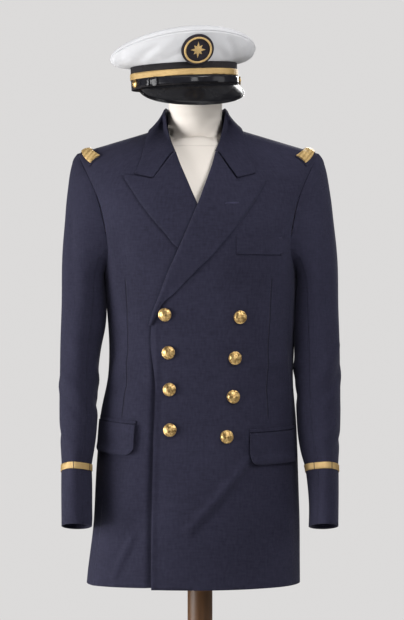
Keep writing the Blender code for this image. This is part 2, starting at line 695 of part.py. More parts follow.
def sleeve_point(side: int, bearing: float, share: float, lift: float) -> Vector:
    """Return a point of the sleeve, from the armhole at 0 to the cuff at 1."""
    row = share * (HEAD_ROWS + len(ARM_LEVELS) - 1)
    if row >= HEAD_ROWS:
        return sleeve_section(side, bearing, ARM_LEVELS[round(row - HEAD_ROWS)], lift)
    t = row / HEAD_ROWS
    turn, hole_height = hole_place(bearing)
    start = body_point(side * turn, hole_height)
    angle = math.radians(bearing % 360)
    start += Vector((side * SLEEVE_GAP, 0, 0)) + hole_spread(angle) * lift
    end = sleeve_section(side, bearing, ARM_LEVELS[0], lift)
    outward = Vector((side * 1.0, -0.10 * math.sin(angle), 0.05 * math.cos(angle)))
    reach = (end - start).length
    leave = outward * min(0.055, 0.9 * reach)
    arrive = Vector((0, 0, -1)) * min(0.19, 0.95 * reach)
    return ((2 * t**3 - 3 * t**2 + 1) * start + (t**3 - 2 * t**2 + t) * leave
            + (3 * t**2 - 2 * t**3) * end + (t**3 - t**2) * arrive)


def hole_spread(angle: float) -> Vector:
    """Return the direction out from the armhole's middle at a bearing."""
    return Vector((0, -math.sin(angle), math.cos(angle)))


def sleeve_half(side: int, part: str, first: float, last: float) -> bpy.types.Object:
    """Build the top or the under half of a sleeve between two bearings."""
    trim = math.degrees(SEAM_TURN) * 2.4

    def place(across: float, upward: float, lift: float) -> Vector:
        bearing = blend(first, last, across) + trim * (1 - 2 * across)
        return sleeve_point(side, bearing, 1 - upward, lift)

    columns = int((last - first) / RADIAL_STEP)
    rows = HEAD_ROWS + len(ARM_LEVELS) - 1
    return wall(f"sleeve_{part}_{side_name(side)}", columns, rows, lambda u, v: place(u, v, 0.0),
                lambda u, v: place(u, v, -WALL), "navy")


def sleeve_stripe(side: int) -> bpy.types.Object:
    """Build the lace that runs round the sleeve above the cuff."""
    low, high = STRIPE_LIFT, STRIPE_LIFT + STRIPE_THICK
    sections = []
    for bearing in range(0, 360, RADIAL_STEP):
        corners = ((low, STRIPE_LOW), (high, STRIPE_LOW), (high, STRIPE_HIGH), (low, STRIPE_HIGH))
        sections.append([sleeve_section(side, bearing, height, lift) for lift, height in corners])
    return tube(f"sleeve_stripe_{side_name(side)}", sections, True, "gold")


def side_name(side: int) -> str:
    """Return the wearer's side as a word."""
    return "left" if side == LEFT else "right"


def triangle(share: float, peak: float) -> float:
    """Return 1 at the peak and 0 at both ends, straight between."""
    return share / peak if share <= peak else (1 - share) / (1 - peak)


def collar_point(across: float, leaf: float) -> Vector:
    """Return a point of the collar's middle surface.

    Args:
        across: From the wearer's right front end at 0 to the left one at 1.
        leaf: Less than 0 on the stand, 0 at the fold, up to 1 at the fall's edge.
    """
    side = LEFT if across >= 0.5 else RIGHT
    share = abs(across - 0.5) * 2
    row = COLLAR_PROFILE.at(share)
    fold = Vector((side * row.fold_x, row.fold_y, row.fold_z))
    radial = Vector((fold.x, fold.y - COLLAR_AXIS_DEPTH, 0)).normalized()
    middle = Vector((COLLAR_MIDDLE, 0, 0))
    if leaf < 0:
        base = Vector((side * row.base_x, row.base_y, row.base_z))
        return middle + fold.lerp(base, -leaf) - radial * 0.0016 * min(-leaf * 8, 1.0)
    edge_x = COLLAR_MIDDLE + side * row.edge_x
    over_shoulder = ease(0.15, 0.35, share) * (1.0 - ease(0.62, 0.76, share))
    lift = COLLAR_WALL + COLLAR_HANG * over_shoulder
    front_edge = front_point(edge_x, row.edge_z, lift)
    edge = front_edge if share > 0.75 else shoulder_point(edge_x, row.edge_y, lift)
    start = middle + fold + radial * 0.0017 * min(leaf * 10, 1.0)
    control = start.lerp(edge, 0.45) + radial * row.bulge
    hung = start.lerp(control, leaf).lerp(control.lerp(edge, leaf), leaf)
    on_chest = ease(0.60, 0.84, share)
    resting = shoulder_point(hung.x, hung.y, lift)
    if leaf > 0.4 and hung.z < resting.z:
        hung = resting
    if on_chest == 0.0:
        return hung
    flat = start.lerp(edge, leaf)
    flat.z -= COLLAR_DIP * ease(0.80, 1.0, share) * triangle(leaf, COLLAR_NOTCH)
    raised = overlap_lift(flat.x, flat.z) if side == LEFT else 0.0
    laid = front_point(flat.x, flat.z, blend(0.0040, lift, ease(0.0, 0.7, leaf)) + raised)
    return hung.lerp(laid, on_chest * ease(-0.05, 0.15, leaf))


def collar() -> bpy.types.Object:
    """Build the collar: its stand, the fold and the fall over the shoulders."""
    leaves = [-leaf for leaf in STAND_LEAVES] + list(FALL_LEAVES)
    count = len(leaves) - 1
    return sheet("collar", COLLAR_RIBS * 2, count, lambda u, v: collar_point(u, leaves[round(v * count)]),
                 COLLAR_WALL, "navy")


def lapel(side: int) -> bpy.types.Object:
    """Build one peaked lapel, rolled over from the front's roll line."""
    foot = LAPEL[0].fold_z if side == LEFT else blend(LAPEL[0].fold_z, LAPEL[-1].fold_z, UNDER_LAPEL_FOOT)
    count = len(LEAF) - 1

    def place(across: float, upward: float) -> Vector:
        station = LEAF[round(across * count)]
        row = LAPEL_PROFILE.at(blend(foot, LAPEL[-1].fold_z, upward))
        fold_x = front_edge_x(side, row.fold_z)
        lean = row.edge_reach * ease(1.20, 1.34, row.edge_z)
        edge_x = closing_line(row.edge_z) + side * row.edge_reach + LAPEL_SHIFT * ease(1.20, 1.34, row.edge_z)
        edge_z = row.edge_z - side * LAPEL_LEAN * lean
        at_foot = 1.0 - ease(0.0, 0.2, upward)
        x = blend(fold_x, edge_x, station.share) - side * station.beyond * (1 + at_foot / 2)
        z = blend(row.fold_z, edge_z, station.share) - row.dip * triangle(station.share, LAPEL_NOTCH)
        base = overlap_lift(x, z) + FOOT_LIFT * at_foot if side == LEFT else 0.0
        return front_point(x, z, base + station.lift)

    rows = LAPEL_RIBS if side == LEFT else LAPEL_RIBS - 4
    return sheet(f"lapel_{side_name(side)}", count, rows, place, WALL, "navy")


def breast_welt() -> bpy.types.Object:
    """Build the breast pocket's welt on the wearer's left."""
    def place(across: float, upward: float, lift: float) -> Vector:
        x = blend(WELT_INNER, WELT_OUTER, across)
        z = blend(WELT_LOW, WELT_HIGH, upward)
        return front_point(x, z, overlap_lift(x, z) + WELT_LIFT + lift)

    return wall("breast_welt", 7, 2, lambda u, v: place(u, v, WELT_THICK), lambda u, v: place(u, v, 0.0), "navy")


def hip_place(pocket: PocketRow, across: float, drop: float, lift: float) -> Vector:
    """Return a point below a hip pocket's mouth, lifted off the coat."""
    turn = pocket.side * math.radians(blend(pocket.inner_turn, pocket.outer_turn, across))
    height = blend(pocket.inner_top, pocket.outer_top, across) - drop
    raised = overlap_lift(bare_point(turn, height).x, height) if pocket.side == LEFT else 0.0
    return body_point(turn, height, raised + lift)


def hip_flap(pocket: PocketRow) -> bpy.types.Object:
    """Build a pocket flap with its lower corners rounded."""
    length = (hip_place(pocket, 1, 0, 0) - hip_place(pocket, 0, 0, 0)).length

    def place(across: float, upward: float, lift: float) -> Vector:
        spread = (1 - math.cos(math.pi * across)) / 2
        near = min(min(spread, 1 - spread) * length / FLAP_CORNER, 1.0)
        depth = pocket.depth - FLAP_CORNER * (1 - math.sqrt(1 - (1 - near) ** 2))
        return hip_place(pocket, spread, depth * (1 - upward), FLAP_LIFT + lift)

    return wall(f"flap_{side_name(pocket.side)}", 12, 4, lambda u, v: place(u, v, FLAP_THICK),
                lambda u, v: place(u, v, 0.0), "navy")


def hip_jet(pocket: PocketRow) -> bpy.types.Object:
    """Build the jetted strip above a pocket flap."""
    def place(across: float, upward: float, lift: float) -> Vector:
        return hip_place(pocket, across, -JET_GAP - JET_HEIGHT * upward, JET_LIFT + lift)

    return wall(f"jet_{side_name(pocket.side)}", 8, 1, lambda u, v: place(u, v, JET_THICK),
                lambda u, v: place(u, v, 0.0), "navy")


def domed_button(name: str, place: Vector, direction: Vector, radius: float, height: float) -> bpy.types.Object:
    """Build a domed metal button with a rim and a shank, its foot at a place."""
    dome = radius * 0.84
    steps = 3
    arc = [(dome * math.cos(k * math.pi / 2 / steps), BUTTON_RIM + (height - BUTTON_RIM)
            * math.sin(k * math.pi / 2 / steps)) for k in range(steps)]
    shank = [(0.0, -SHANK_LENGTH), (SHANK_RADIUS, -SHANK_LENGTH), (SHANK_RADIUS, 0.0)]
    profile = shank + [(radius, 0.0), (radius, BUTTON_RIM * 0.8)] + arc + [(0.0, height)]
    seat = place + direction * SHANK_LENGTH
    return turned(name, profile, BUTTON_SIDES, axis_frame(seat, direction), "gold")


def coat_buttons() -> None:
    """Build the eight buttons of the double-breasted front."""
    for number, button in enumerate(COAT_BUTTONS, start=1):
        turn, height = body_place(button.x, button.z)
        seat = front_point(button.x, button.z, overlap_lift(button.x, button.z) + 2 * SEAM_GAP)
        domed_button(f"coat_button_{number}", seat, body_normal(turn, height), BUTTON_RADIUS, BUTTON_HEIGHT)


def loop_point(side: int, across: float, along: float, margin: float, lift: float) -> Vector:
    """Return a point of a shoulder loop; along runs from front to back."""
    run = 2 * along - 1
    bend = LOOP_INWARD * run * run * (1.0 if run < 0 else LOOP_BACK_BEND)
    x = BODY[-1].centre + side * (LOOP_REACH - bend + (2 * across - 1) * (LOOP_HALF_WIDTH + margin))
    y = RIDGE_DEPTH + run * (margin + (LOOP_FRONT if run < 0 else LOOP_BACK))
    return shoulder_point(x, y, lift)


def shoulder_loop(side: int) -> None:
    """Build a shoulder loop: a cloth backing and the ribbed braid on it."""
    def backing(across: float, along: float, lift: float) -> Vector:
        return loop_point(side, across, along, BACKING_MARGIN, BACKING_LIFT + lift)

    wall(f"loop_backing_{side_name(side)}", 3, 10, lambda u, v: backing(u, v, BACKING_THICK),
         lambda u, v: backing(u, v, 0.0), "navy")

    def braid(across: float, along: float) -> Vector:
        wave = math.sin(math.pi * (BRAID_TURNS * along * 2 + BRAID_SLANT * across))
        edge = min(across, 1 - across) > 0
        lift = BRAID_LIFT + BRAID_THICK + (BRAID_RELIEF * (0.5 + 0.5 * wave) if edge else -0.4 * BRAID_RELIEF)
        return loop_point(side, across, along, 0.0, lift)

    wall(f"loop_braid_{side_name(side)}", 3, BRAID_TURNS * 4, braid,
         lambda u, v: loop_point(side, u, v, 0.0, BRAID_LIFT), "gold")


CAP_FRAME = (Matrix.Translation(CAP_PLACE) @ Matrix.Rotation(CAP_ROLL, 4, "Y") @ Matrix.Rotation(CAP_PITCH, 4, "X")
             @ Matrix.Rotation(CAP_YAW, 4, "Z"))


def cap_ring(turn: float, half_width: float, half_depth: float, height: float) -> Vector:
    """Return a point of an oval ring of the cap; turn 0 is its front."""
    return CAP_FRAME @ Vector((half_width * math.sin(turn), -half_depth * math.cos(turn), height))


def band_point(turn: float, height: float, lift: float) -> Vector:
    """Return a point on the cap band's outer face, lifted out."""
    return cap_ring(turn, BAND_HALF_WIDTH + lift, BAND_HALF_DEPTH + lift, height)


def crown_edge(turn: float) -> float:
    """Return the height of the crown's upper edge, highest in front."""
    return CROWN_BACK_EDGE + CROWN_FRONT_RISE * ((1 + math.cos(turn)) / 2) ** CROWN_RISE_POWER


def crown_side_point(turn: float, share: float, inset: float) -> Vector:
    """Return a point of the crown's side, from the band up to its widest line."""
    forward = ((1 + math.cos(turn)) / 2) ** 3
    start = BAND_HEIGHT + SEAM_GAP
    belly = crown_edge(turn) - CROWN_BELLY
    swell = blend(0.9, 0.55, forward)
    rise = blend(0.1, 0.45, forward)
    out = 2 * share * (1 - share) * swell + share**2
    height = blend(start, belly, 2 * share * (1 - share) * rise + share**2)
    half_width = blend(BAND_HALF_WIDTH, CROWN_HALF_WIDTH, out) - inset
    half_depth = blend(BAND_HALF_DEPTH, CROWN_HALF_DEPTH, out) - inset
    return cap_ring(turn, half_width, half_depth, height + inset * (1 - forward) * (1 - share))


def crown_top_point(turn: float, share: float, inset: float) -> Vector:
    """Return a point of the crown's top, from its widest line to the middle."""
    belly = crown_edge(turn) - CROWN_BELLY + SEAM_GAP
    reach = math.cos(share * math.pi / 2) if share < 1 else 0.0
    shoulder = math.sin(min(share * 3.2, 1.0) * math.pi / 2)
    height = belly + CROWN_BELLY * shoulder
    height = blend(height, CROWN_MIDDLE, ease(0.15, 1.0, share))
    half_width = (CROWN_HALF_WIDTH - inset) * reach
    half_depth = (CROWN_HALF_DEPTH - inset) * reach
    return cap_ring(turn, half_width, half_depth, height - inset * ease(0.0, 0.3, share))


def cap_crown() -> None:
    """Build the cap's cover: its side and its domed top."""
    side_steps = 4
    turns = [2 * math.pi * k / CAP_SEGMENTS for k in range(CAP_SEGMENTS)]
    shares = [k / side_steps for k in range(side_steps + 1)]
    sections = [[crown_side_point(turn, share, 0.0) for share in shares]
                + [crown_side_point(turn, share, WALL) for share in reversed(shares)] for turn in turns]
    tube("cap_side", sections, True, "white")
    shape = bmesh.new()
    reaches = (0.0, 0.12, 0.25, 0.42, 0.62, 0.82)
    skins = []
    for inset in (0.0, WALL):
        rings = [[shape.verts.new(crown_top_point(turn, share, inset)) for turn in turns] for share in reaches]
        middle = shape.verts.new(crown_top_point(0.0, 1.0, inset))
        for outer, inner in zip(rings, rings[1:]):
            for k in range(CAP_SEGMENTS):
                n = (k + 1) % CAP_SEGMENTS
                shape.faces.new((outer[k], outer[n], inner[n], inner[k]))
        for k in range(CAP_SEGMENTS):
            shape.faces.new((rings[-1][k], rings[-1][(k + 1) % CAP_SEGMENTS], middle))
        skins.append(rings[0])
    for k in range(CAP_SEGMENTS):
        n = (k + 1) % CAP_SEGMENTS
        shape.faces.new((skins[0][k], skins[0][n], skins[1][n], skins[1][k]))
    finish("cap_top", shape, "white")


def cap_hoop(name: str, low: float, high: float, lift: float, thickness: float, colour: str) -> None:
    """Build a flat hoop round the cap band."""
    sections = []
    for k in range(CAP_SEGMENTS):
        turn = 2 * math.pi * k / CAP_SEGMENTS
        corners = ((low, lift), (low, lift + thickness), (high, lift + thickness), (high, lift))
        sections.append([band_point(turn, height, out) for height, out in corners])
    tube(name, sections, True, colour)


def cap_strip(name: str, first: float, last: float, low: float, high: float, lift: float, thickness: float) -> None:
    """Build a short patent strip on the cap band between two turns."""
    columns = max(2, round((last - first) / (2 * math.pi) * CAP_SEGMENTS))

    def place(across: float, upward: float, out: float) -> Vector:
        return band_point(blend(first, last, across), blend(low, high, upward), out)

    wall(name, columns, 1, lambda u, v: place(u, v, lift + thickness), lambda u, v: place(u, v, lift), "patent")


def visor_point(across: float, share: float, drop: float) -> Vector:
    """Return a point of the visor; share runs from the band to its outer edge."""
    turn = blend(-VISOR_END, VISOR_END, across)
    spread = max(1 - (2 * across - 1) ** 2, 0.0) ** 1.15 * 0.94 + 0.06
    out = SEAM_GAP + VISOR_OUT * spread * share
    height = VISOR_TOP - VISOR_DROP * spread * share**1.1 - drop
    return band_point(turn, height, out)


def cap_visor() -> None:
    """Build the visor and the binding along its outer edge."""
    wall("cap_visor", 18, 3, lambda u, v: visor_point(u, v, 0.0), lambda u, v: visor_point(u, v, VISOR_THICK), "patent")
    sections = []
    steps, sides = 20, 6
    for k in range(steps + 1):
        across = 0.012 + 0.976 * k / steps
        centre = visor_point(across, 1.0, VISOR_THICK / 2)
        inner = visor_point(across, 0.9, VISOR_THICK / 2)
        out = (centre - inner).normalized()
        ahead = visor_point(min(across + 0.01, 1.0), 1.0, VISOR_THICK / 2)
        behind = visor_point(max(across - 0.01, 0.0), 1.0, VISOR_THICK / 2)
        run = (ahead - behind).normalized()
        up = run.cross(out).normalized()
        centre = centre + out * (VISOR_RIM_RADIUS + VISOR_RIM_GAP)
        sections.append([centre + (out * math.cos(a) + up * math.sin(a)) * VISOR_RIM_RADIUS
                         for a in (2 * math.pi * n / sides for n in range(sides))])
    tube("cap_visor_rim", sections, False, "patent")


def badge_point(across: float, upward: float, lift: float) -> Vector:
    """Return a point of the badge; across and upward run from -1 to 1."""
    height = blend(BADGE_LOW, BADGE_HIGH, (upward + 1) / 2)
    reach = blend(BADGE_FOOT, BADGE_HEAD, (upward + 1) / 2)
    sideways = across * BADGE_HALF_WIDTH
    drop = reach - math.sqrt(reach**2 - sideways**2)
    lean = math.atan2(BADGE_HEAD - BADGE_FOOT, BADGE_HIGH - BADGE_LOW)
    forward = reach - 0.5 * drop + lift * math.cos(lean)
    return CAP_FRAME @ Vector((sideways, -forward, height - lift * math.sin(lean)))


def cap_badge() -> None:
    """Build the badge: an oval patch, a padded ring and an eight-point star."""
    sides = 24
    angles = [2 * math.pi * k / sides for k in range(sides)]
    shape = bmesh.new()
    rims = []
    for lift in (0.0, PATCH_THICK):
        rim = [shape.verts.new(badge_point(math.sin(a), math.cos(a), lift)) for a in angles]
        middle = shape.verts.new(badge_point(0, 0, lift))
        for k in range(sides):
            shape.faces.new((rim[k], rim[(k + 1) % sides], middle))
        rims.append(rim)
    for k in range(sides):
        n = (k + 1) % sides
        shape.faces.new((rims[0][k], rims[0][n], rims[1][n], rims[1][k]))
    finish("badge_patch", shape, "navy")
    sections = []
    lifted = PATCH_THICK + BADGE_STEP + WREATH_RADIUS
    for a in angles:
        around = (2 * math.pi * n / 6 for n in range(6))
        sections.append([badge_point(math.sin(a) * (WREATH_MIDDLE + WREATH_RADIUS * math.cos(b) / BADGE_HALF_WIDTH),
                                     math.cos(a) * (WREATH_MIDDLE + WREATH_RADIUS * math.cos(b) / BADGE_HALF_WIDTH),
                                     lifted + WREATH_RADIUS * math.sin(b)) for b in around])
    tube("badge_ring", sections, True, "gold")
    points = []
    for k in range(STAR_POINTS * 2):
        reach = STAR_WAIST if k % 2 else STAR_REACH * (1.0 if k % 4 == 0 else 0.78)
        angle = math.pi * k / STAR_POINTS
        points.append((math.sin(angle) * reach * 0.86, math.cos(angle) * reach))
    shape = bmesh.new()
    low = [shape.verts.new(badge_point(x, y, PATCH_THICK + BADGE_STEP)) for x, y in points]
    high = [shape.verts.new(badge_point(x, y, PATCH_THICK + BADGE_STEP + STAR_THICK * 0.4)) for x, y in points]
    foot = shape.verts.new(badge_point(0, 0, PATCH_THICK + BADGE_STEP))
    peak = shape.verts.new(badge_point(0, 0, PATCH_THICK + BADGE_STEP + STAR_THICK * 1.6))
    for k in range(len(points)):
        n = (k + 1) % len(points)
        shape.faces.new((low[k], low[n], high[n], high[k]))
        shape.faces.new((high[k], high[n], peak))
        shape.faces.new((low[k], low[n], foot))
    finish("badge_star", shape, "gold", smooth=20.0)


def cap_buttons() -> None:
    """Build the two buttons that hold the chin strap's ends."""
    middle = (STRAP_LOW + STRAP_HIGH) / 2
    for side in (LEFT, RIGHT):
        turn = side * SIDE_BUTTON_TURN
        seat = band_point(turn, middle, SEAM_GAP * 0.5)
        out = (band_point(turn, middle, 0.01) - band_point(turn, middle, 0.0)).normalized()
        domed_button(f"cap_button_{side_name(side)}", seat, out, SIDE_BUTTON_RADIUS, SIDE_BUTTON_HEIGHT)


def cap() -> None:
    """Build the peaked cap."""
    cap_hoop("cap_band", 0.0, BAND_HEIGHT, -WALL, WALL, "navy")
    cap_hoop("cap_lace", LACE_LOW, LACE_HIGH, SEAM_GAP, LACE_THICK, "gold")
    cap_crown()
    cap_strip("chin_strap", -STRAP_END + 0.02, STRAP_END - 0.02, STRAP_LOW, STRAP_HIGH, STRAP_LIFT, STRAP_THICK)
    for number, (turn, half) in enumerate(KEEPERS, start=1):
        cap_strip(f"strap_keeper_{number}", turn - half, turn + half, STRAP_LOW - KEEPER_MARGIN,
                  STRAP_HIGH + KEEPER_MARGIN * 0.8, KEEPER_LIFT, KEEPER_THICK)
    cap_visor()
    cap_buttons()
    cap_badge()


def torso_rings() -> list[list[Vector]]:
    """Return the torso's rings, from its foot up over the shoulders to the neck."""
    rings = []
    angles = [2 * math.pi * k / TORSO_SEGMENTS for k in range(TORSO_SEGMENTS)]
    for height in TORSO_LEVELS:
        clearance = blend(TORSO_BODY_CLEARANCE, TORSO_SHOULDER_CLEARANCE, ease(0.75, 1.0, shoulder_share(height)))
        rings.append([torso_point(angle, height, clearance) for angle in angles])
    neck = neck_ring(angles, SHOULDER_TIP, NECK_FOOT_SPREAD)
    for share in (0.3, 0.6, 0.85, 1.0):
        ring = []
        for start, end in zip(rings[len(TORSO_LEVELS) - 1], neck):
            place = start.lerp(end, share)
            off_ridge = ease(0.0, 0.012, abs(place.y - RIDGE_DEPTH))
            clearance = blend(TORSO_SHOULDER_CLEARANCE, TORSO_BODY_CLEARANCE, off_ridge)
            ring.append(shoulder_point(place.x, place.y, -WALL - clearance))
        rings.append(ring)
    return rings


def torso_point(turn: float, height: float, clearance: float) -> Vector:
    """Return a point of the torso, inside the coat by its wall and a clearance."""
    normal = body_normal(turn, height)
    point = bare_point(turn, height) - normal * (WALL + clearance)
    row = BODY_PROFILE.at(height)
    limit = row.half_width * TORSO_ARM_REACH
    point.x = row.centre + math.copysign(min(abs(point.x - row.centre), limit), point.x - row.centre)
    if height <= ARMPIT:
        point.z = height
    return point


def dress_form() -> None:
    """Build the limbless form: torso with neck, pole and round base."""
    rings = torso_rings()
    angles = [2 * math.pi * k / TORSO_SEGMENTS for k in range(TORSO_SEGMENTS)]
    neck_top = (CAP_FRAME @ Vector((0, 0, CROWN_MIDDLE - WALL))).z - NECK_TOP_CLEARANCE
    for height, spread in NECK_LEVELS + ((neck_top - NECK_TOP_ROUND, 1.0),):
        rings.append(neck_ring(angles, height, spread))
    steps = 3
    for k in range(1, steps + 1):
        angle = math.pi / 2 * k / steps
        height = neck_top - NECK_TOP_ROUND + NECK_TOP_ROUND * math.sin(angle)
        rings.append(neck_ring(angles, height, 1.0 - NECK_TOP_DRAW * (1 - math.cos(angle))))
    tube("form_torso", rings, False, "cream")
    turned("form_pole", [(0.0, BASE_THICK + BOSS_HEIGHT + SEAM_GAP), (POLE_RADIUS, BASE_THICK + BOSS_HEIGHT + SEAM_GAP),
                         (POLE_RADIUS, TORSO_FOOT - SEAM_GAP), (0.0, TORSO_FOOT - SEAM_GAP)], 28, Matrix(), "wood")
    edge = [(BASE_RADIUS - BASE_ROUND + BASE_ROUND * math.sin(a), BASE_THICK - BASE_ROUND + BASE_ROUND * math.cos(a))
            for a in (math.pi / 2, math.pi / 4, 0.0)]
    turned("form_base", [(0.0, 0.0), (BASE_RADIUS, 0.0)] + edge
           + [(BOSS_RADIUS, BASE_THICK), (BOSS_RADIUS * 0.85, BASE_THICK + BOSS_HEIGHT), (0.0, BASE_THICK + BOSS_HEIGHT)],
           40, Matrix(), "wood")


def neck_ring(angles: Sequence[float], height: float, spread: float) -> list[Vector]:
    """Return an oval ring of the form's neck."""
    return [Vector((COLLAR_MIDDLE + NECK_HALF_WIDTH * spread * math.sin(a),
                    NECK_DEPTH - NECK_HALF_DEPTH * spread * math.cos(a), height)) for a in angles]


def coat() -> None:
    """Build the double-breasted coat."""
    for side in (LEFT, RIGHT):
        front_panel(side)
        side_panel(side)
        back_panel(side)
        sleeve_half(side, "top", SLEEVE_SEAM_BACK, SLEEVE_SEAM_FRONT)
        sleeve_half(side, "under", SLEEVE_SEAM_FRONT, 360 + SLEEVE_SEAM_BACK)
        sleeve_stripe(side)
        lapel(side)
        shoulder_loop(side)
    for pocket in HIP_POCKETS:
        hip_flap(pocket)
        hip_jet(pocket)
    collar()
    breast_welt()
    coat_buttons()


def main() -> None:
    """Empty the scene and build the uniform on its form."""
    for item in list(bpy.data.objects):
        bpy.data.objects.remove(item, do_unlink=True)
    coat()
    cap()
    dress_form()


main()
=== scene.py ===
"""Looks of the naval uniform: wool, lace, gilt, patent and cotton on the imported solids."""
import logging
import math
from dataclasses import dataclass
from enum import Enum
from typing import NamedTuple, Sequence

import bmesh
import bpy
import numpy as np
from mathutils import Matrix, Vector
from mathutils.bvhtree import BVHTree


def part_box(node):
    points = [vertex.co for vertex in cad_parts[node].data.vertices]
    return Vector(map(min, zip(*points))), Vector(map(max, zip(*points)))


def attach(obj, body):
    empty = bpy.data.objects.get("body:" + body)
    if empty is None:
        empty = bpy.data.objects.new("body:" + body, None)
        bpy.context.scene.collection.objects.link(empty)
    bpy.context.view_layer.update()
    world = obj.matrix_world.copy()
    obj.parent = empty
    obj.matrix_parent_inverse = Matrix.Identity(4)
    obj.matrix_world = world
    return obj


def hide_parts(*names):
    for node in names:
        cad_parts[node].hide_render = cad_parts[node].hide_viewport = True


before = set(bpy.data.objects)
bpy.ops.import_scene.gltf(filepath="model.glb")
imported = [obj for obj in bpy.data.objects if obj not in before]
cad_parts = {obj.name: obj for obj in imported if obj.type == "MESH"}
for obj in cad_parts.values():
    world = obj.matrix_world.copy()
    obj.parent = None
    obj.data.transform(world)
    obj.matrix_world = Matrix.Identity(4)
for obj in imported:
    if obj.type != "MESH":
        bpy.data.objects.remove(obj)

LOG = logging.getLogger("uniform")
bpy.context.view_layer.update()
WEAVE_MAP = "weave"
SIDES = ("left", "right")
ROUNDING_PASSES = 4
PAIRING_ANGLE = math.radians(38)
PAIRING_SHAPE = math.radians(60)
BUTTON_SHARP = math.radians(38)
MERGE = 1e-6
SHANK = 0.0012
STAR_HOLLOW, STAR_SHORT = 0.42, 0.74
FOLD_SWELL, FOLD_DIP, FOLD_BELL = 0.45, 0.45, 0.9
LINE_END = 120.0
WAVE_SCALE = 0.314159


class Carrier(Enum):
    """What a cloth lies on, which says how it is folded and how its weave runs."""

    BODY = "body"
    SLEEVE_LEFT = "sleeve_left"
    SLEEVE_RIGHT = "sleeve_right"
    CAP = "cap"


class Fold(NamedTuple):
    """A crease between two places, each a turn in degrees and a height in metres.

    Its width is from its middle to where it has faded, and a depth below 0 is a trough.
    """

    first_turn: float
    first_height: float
    last_turn: float
    last_height: float
    width: float
    depth: float


BODY_FOLDS = (
    Fold(27, 0.850, -4, 0.722, 0.0075, 0.0052),
    Fold(30, 0.842, 0, 0.714, 0.012, -0.0016),
    Fold(20, 0.800, -14, 0.690, 0.030, -0.0014),
    Fold(-33, 0.705, -43, 0.636, 0.0075, 0.0046),
    Fold(-26, 0.760, -38, 0.655, 0.020, -0.0020),
    Fold(-44, 1.270, -40, 1.120, 0.020, -0.0030),
    Fold(44, 1.260, 37, 1.130, 0.020, -0.0028),
    Fold(-30, 1.030, -58, 1.010, 0.014, 0.0022),
    Fold(-34, 0.990, -62, 0.968, 0.013, -0.0022),
    Fold(30, 1.010, 60, 1.030, 0.014, 0.0022),
    Fold(26, 0.960, 58, 0.985, 0.013, -0.0020),
    Fold(-10, 1.060, 14, 1.050, 0.014, 0.0018),
    Fold(-8, 0.985, 16, 0.992, 0.014, -0.0018),
    Fold(52, 0.780, 60, 0.640, 0.022, 0.0018),
    Fold(-70, 0.800, -76, 0.640, 0.022, 0.0016),
    Fold(120, 1.110, 160, 1.070, 0.016, 0.0018),
    Fold(124, 1.060, 164, 1.035, 0.014, -0.0014),
    Fold(-118, 1.100, -158, 1.078, 0.016, 0.0016),
    Fold(-126, 1.045, -166, 1.020, 0.014, -0.0013),
    Fold(150, 1.330, 120, 1.240, 0.022, -0.0016),
    Fold(-150, 1.335, -122, 1.236, 0.022, -0.0015),
    Fold(172, 0.900, 158, 0.640, 0.024, 0.0020),
    Fold(-164, 0.860, -150, 0.640, 0.024, 0.0018),
    Fold(104, 0.820, 110, 0.640, 0.022, -0.0016),
)
LEFT_SLEEVE_FOLDS = (
    Fold(70, 1.290, 88, 1.120, 0.016, -0.0026),
    Fold(30, 1.050, 110, 0.985, 0.012, 0.0031),
    Fold(20, 1.010, 100, 0.945, 0.012, -0.0029),
    Fold(60, 0.960, 140, 0.930, 0.011, 0.0026),
    Fold(-60, 1.040, 10, 0.990, 0.012, 0.0023),
    Fold(-80, 0.980, -10, 0.950, 0.012, -0.0023),
    Fold(50, 0.905, 120, 0.870, 0.011, 0.0023),
    Fold(-20, 0.890, 50, 0.862, 0.011, -0.0023),
    Fold(150, 1.020, 220, 0.985, 0.012, 0.0029),
    Fold(160, 0.965, 230, 0.935, 0.012, -0.0026),
    Fold(40, 0.800, 70, 0.735, 0.014, 0.0010),
    Fold(145, 1.215, 145, 0.860, 0.034, 0.0084),
)
RIGHT_SLEEVE_FOLDS = (
    Fold(64, 1.300, 84, 1.130, 0.016, -0.0026),
    Fold(40, 1.000, 116, 0.955, 0.012, 0.0029),
    Fold(30, 0.965, 104, 0.925, 0.012, -0.0026),
    Fold(70, 1.060, 130, 1.035, 0.012, 0.0023),
    Fold(-70, 1.020, 0, 0.975, 0.012, 0.0026),
    Fold(-84, 0.962, -16, 0.930, 0.012, -0.0023),
    Fold(36, 0.892, 104, 0.866, 0.011, 0.0023),
    Fold(-30, 0.905, 30, 0.880, 0.011, -0.0021),
    Fold(148, 1.005, 216, 0.970, 0.012, 0.0026),
    Fold(156, 0.950, 226, 0.922, 0.012, -0.0026),
    Fold(60, 0.790, 90, 0.736, 0.014, 0.0010),
    Fold(145, 1.215, 145, 1.090, 0.034, 0.0080),
    Fold(145, 0.915, 145, 0.745, 0.036, 0.0085),
)
CAP_FOLDS = (
    Fold(-62, 0.046, -38, 0.068, 0.007, -0.0034),
    Fold(-84, 0.046, -70, 0.066, 0.007, -0.0026),
    Fold(-48, 0.048, -22, 0.078, 0.008, 0.0020),
    Fold(-30, 0.046, -14, 0.060, 0.006, -0.0020),
    Fold(46, 0.046, 30, 0.076, 0.007, -0.0034),
    Fold(62, 0.048, 50, 0.074, 0.007, 0.0022),
    Fold(80, 0.046, 72, 0.068, 0.007, -0.0026),
    Fold(34, 0.046, 22, 0.060, 0.006, -0.0020),
    Fold(118, 0.046, 126, 0.060, 0.007, -0.0024),
    Fold(-124, 0.046, -132, 0.060, 0.007, -0.0024),
    Fold(160, 0.046, 154, 0.060, 0.007, -0.0022),
    Fold(-166, 0.046, -160, 0.060, 0.007, -0.0022),
)
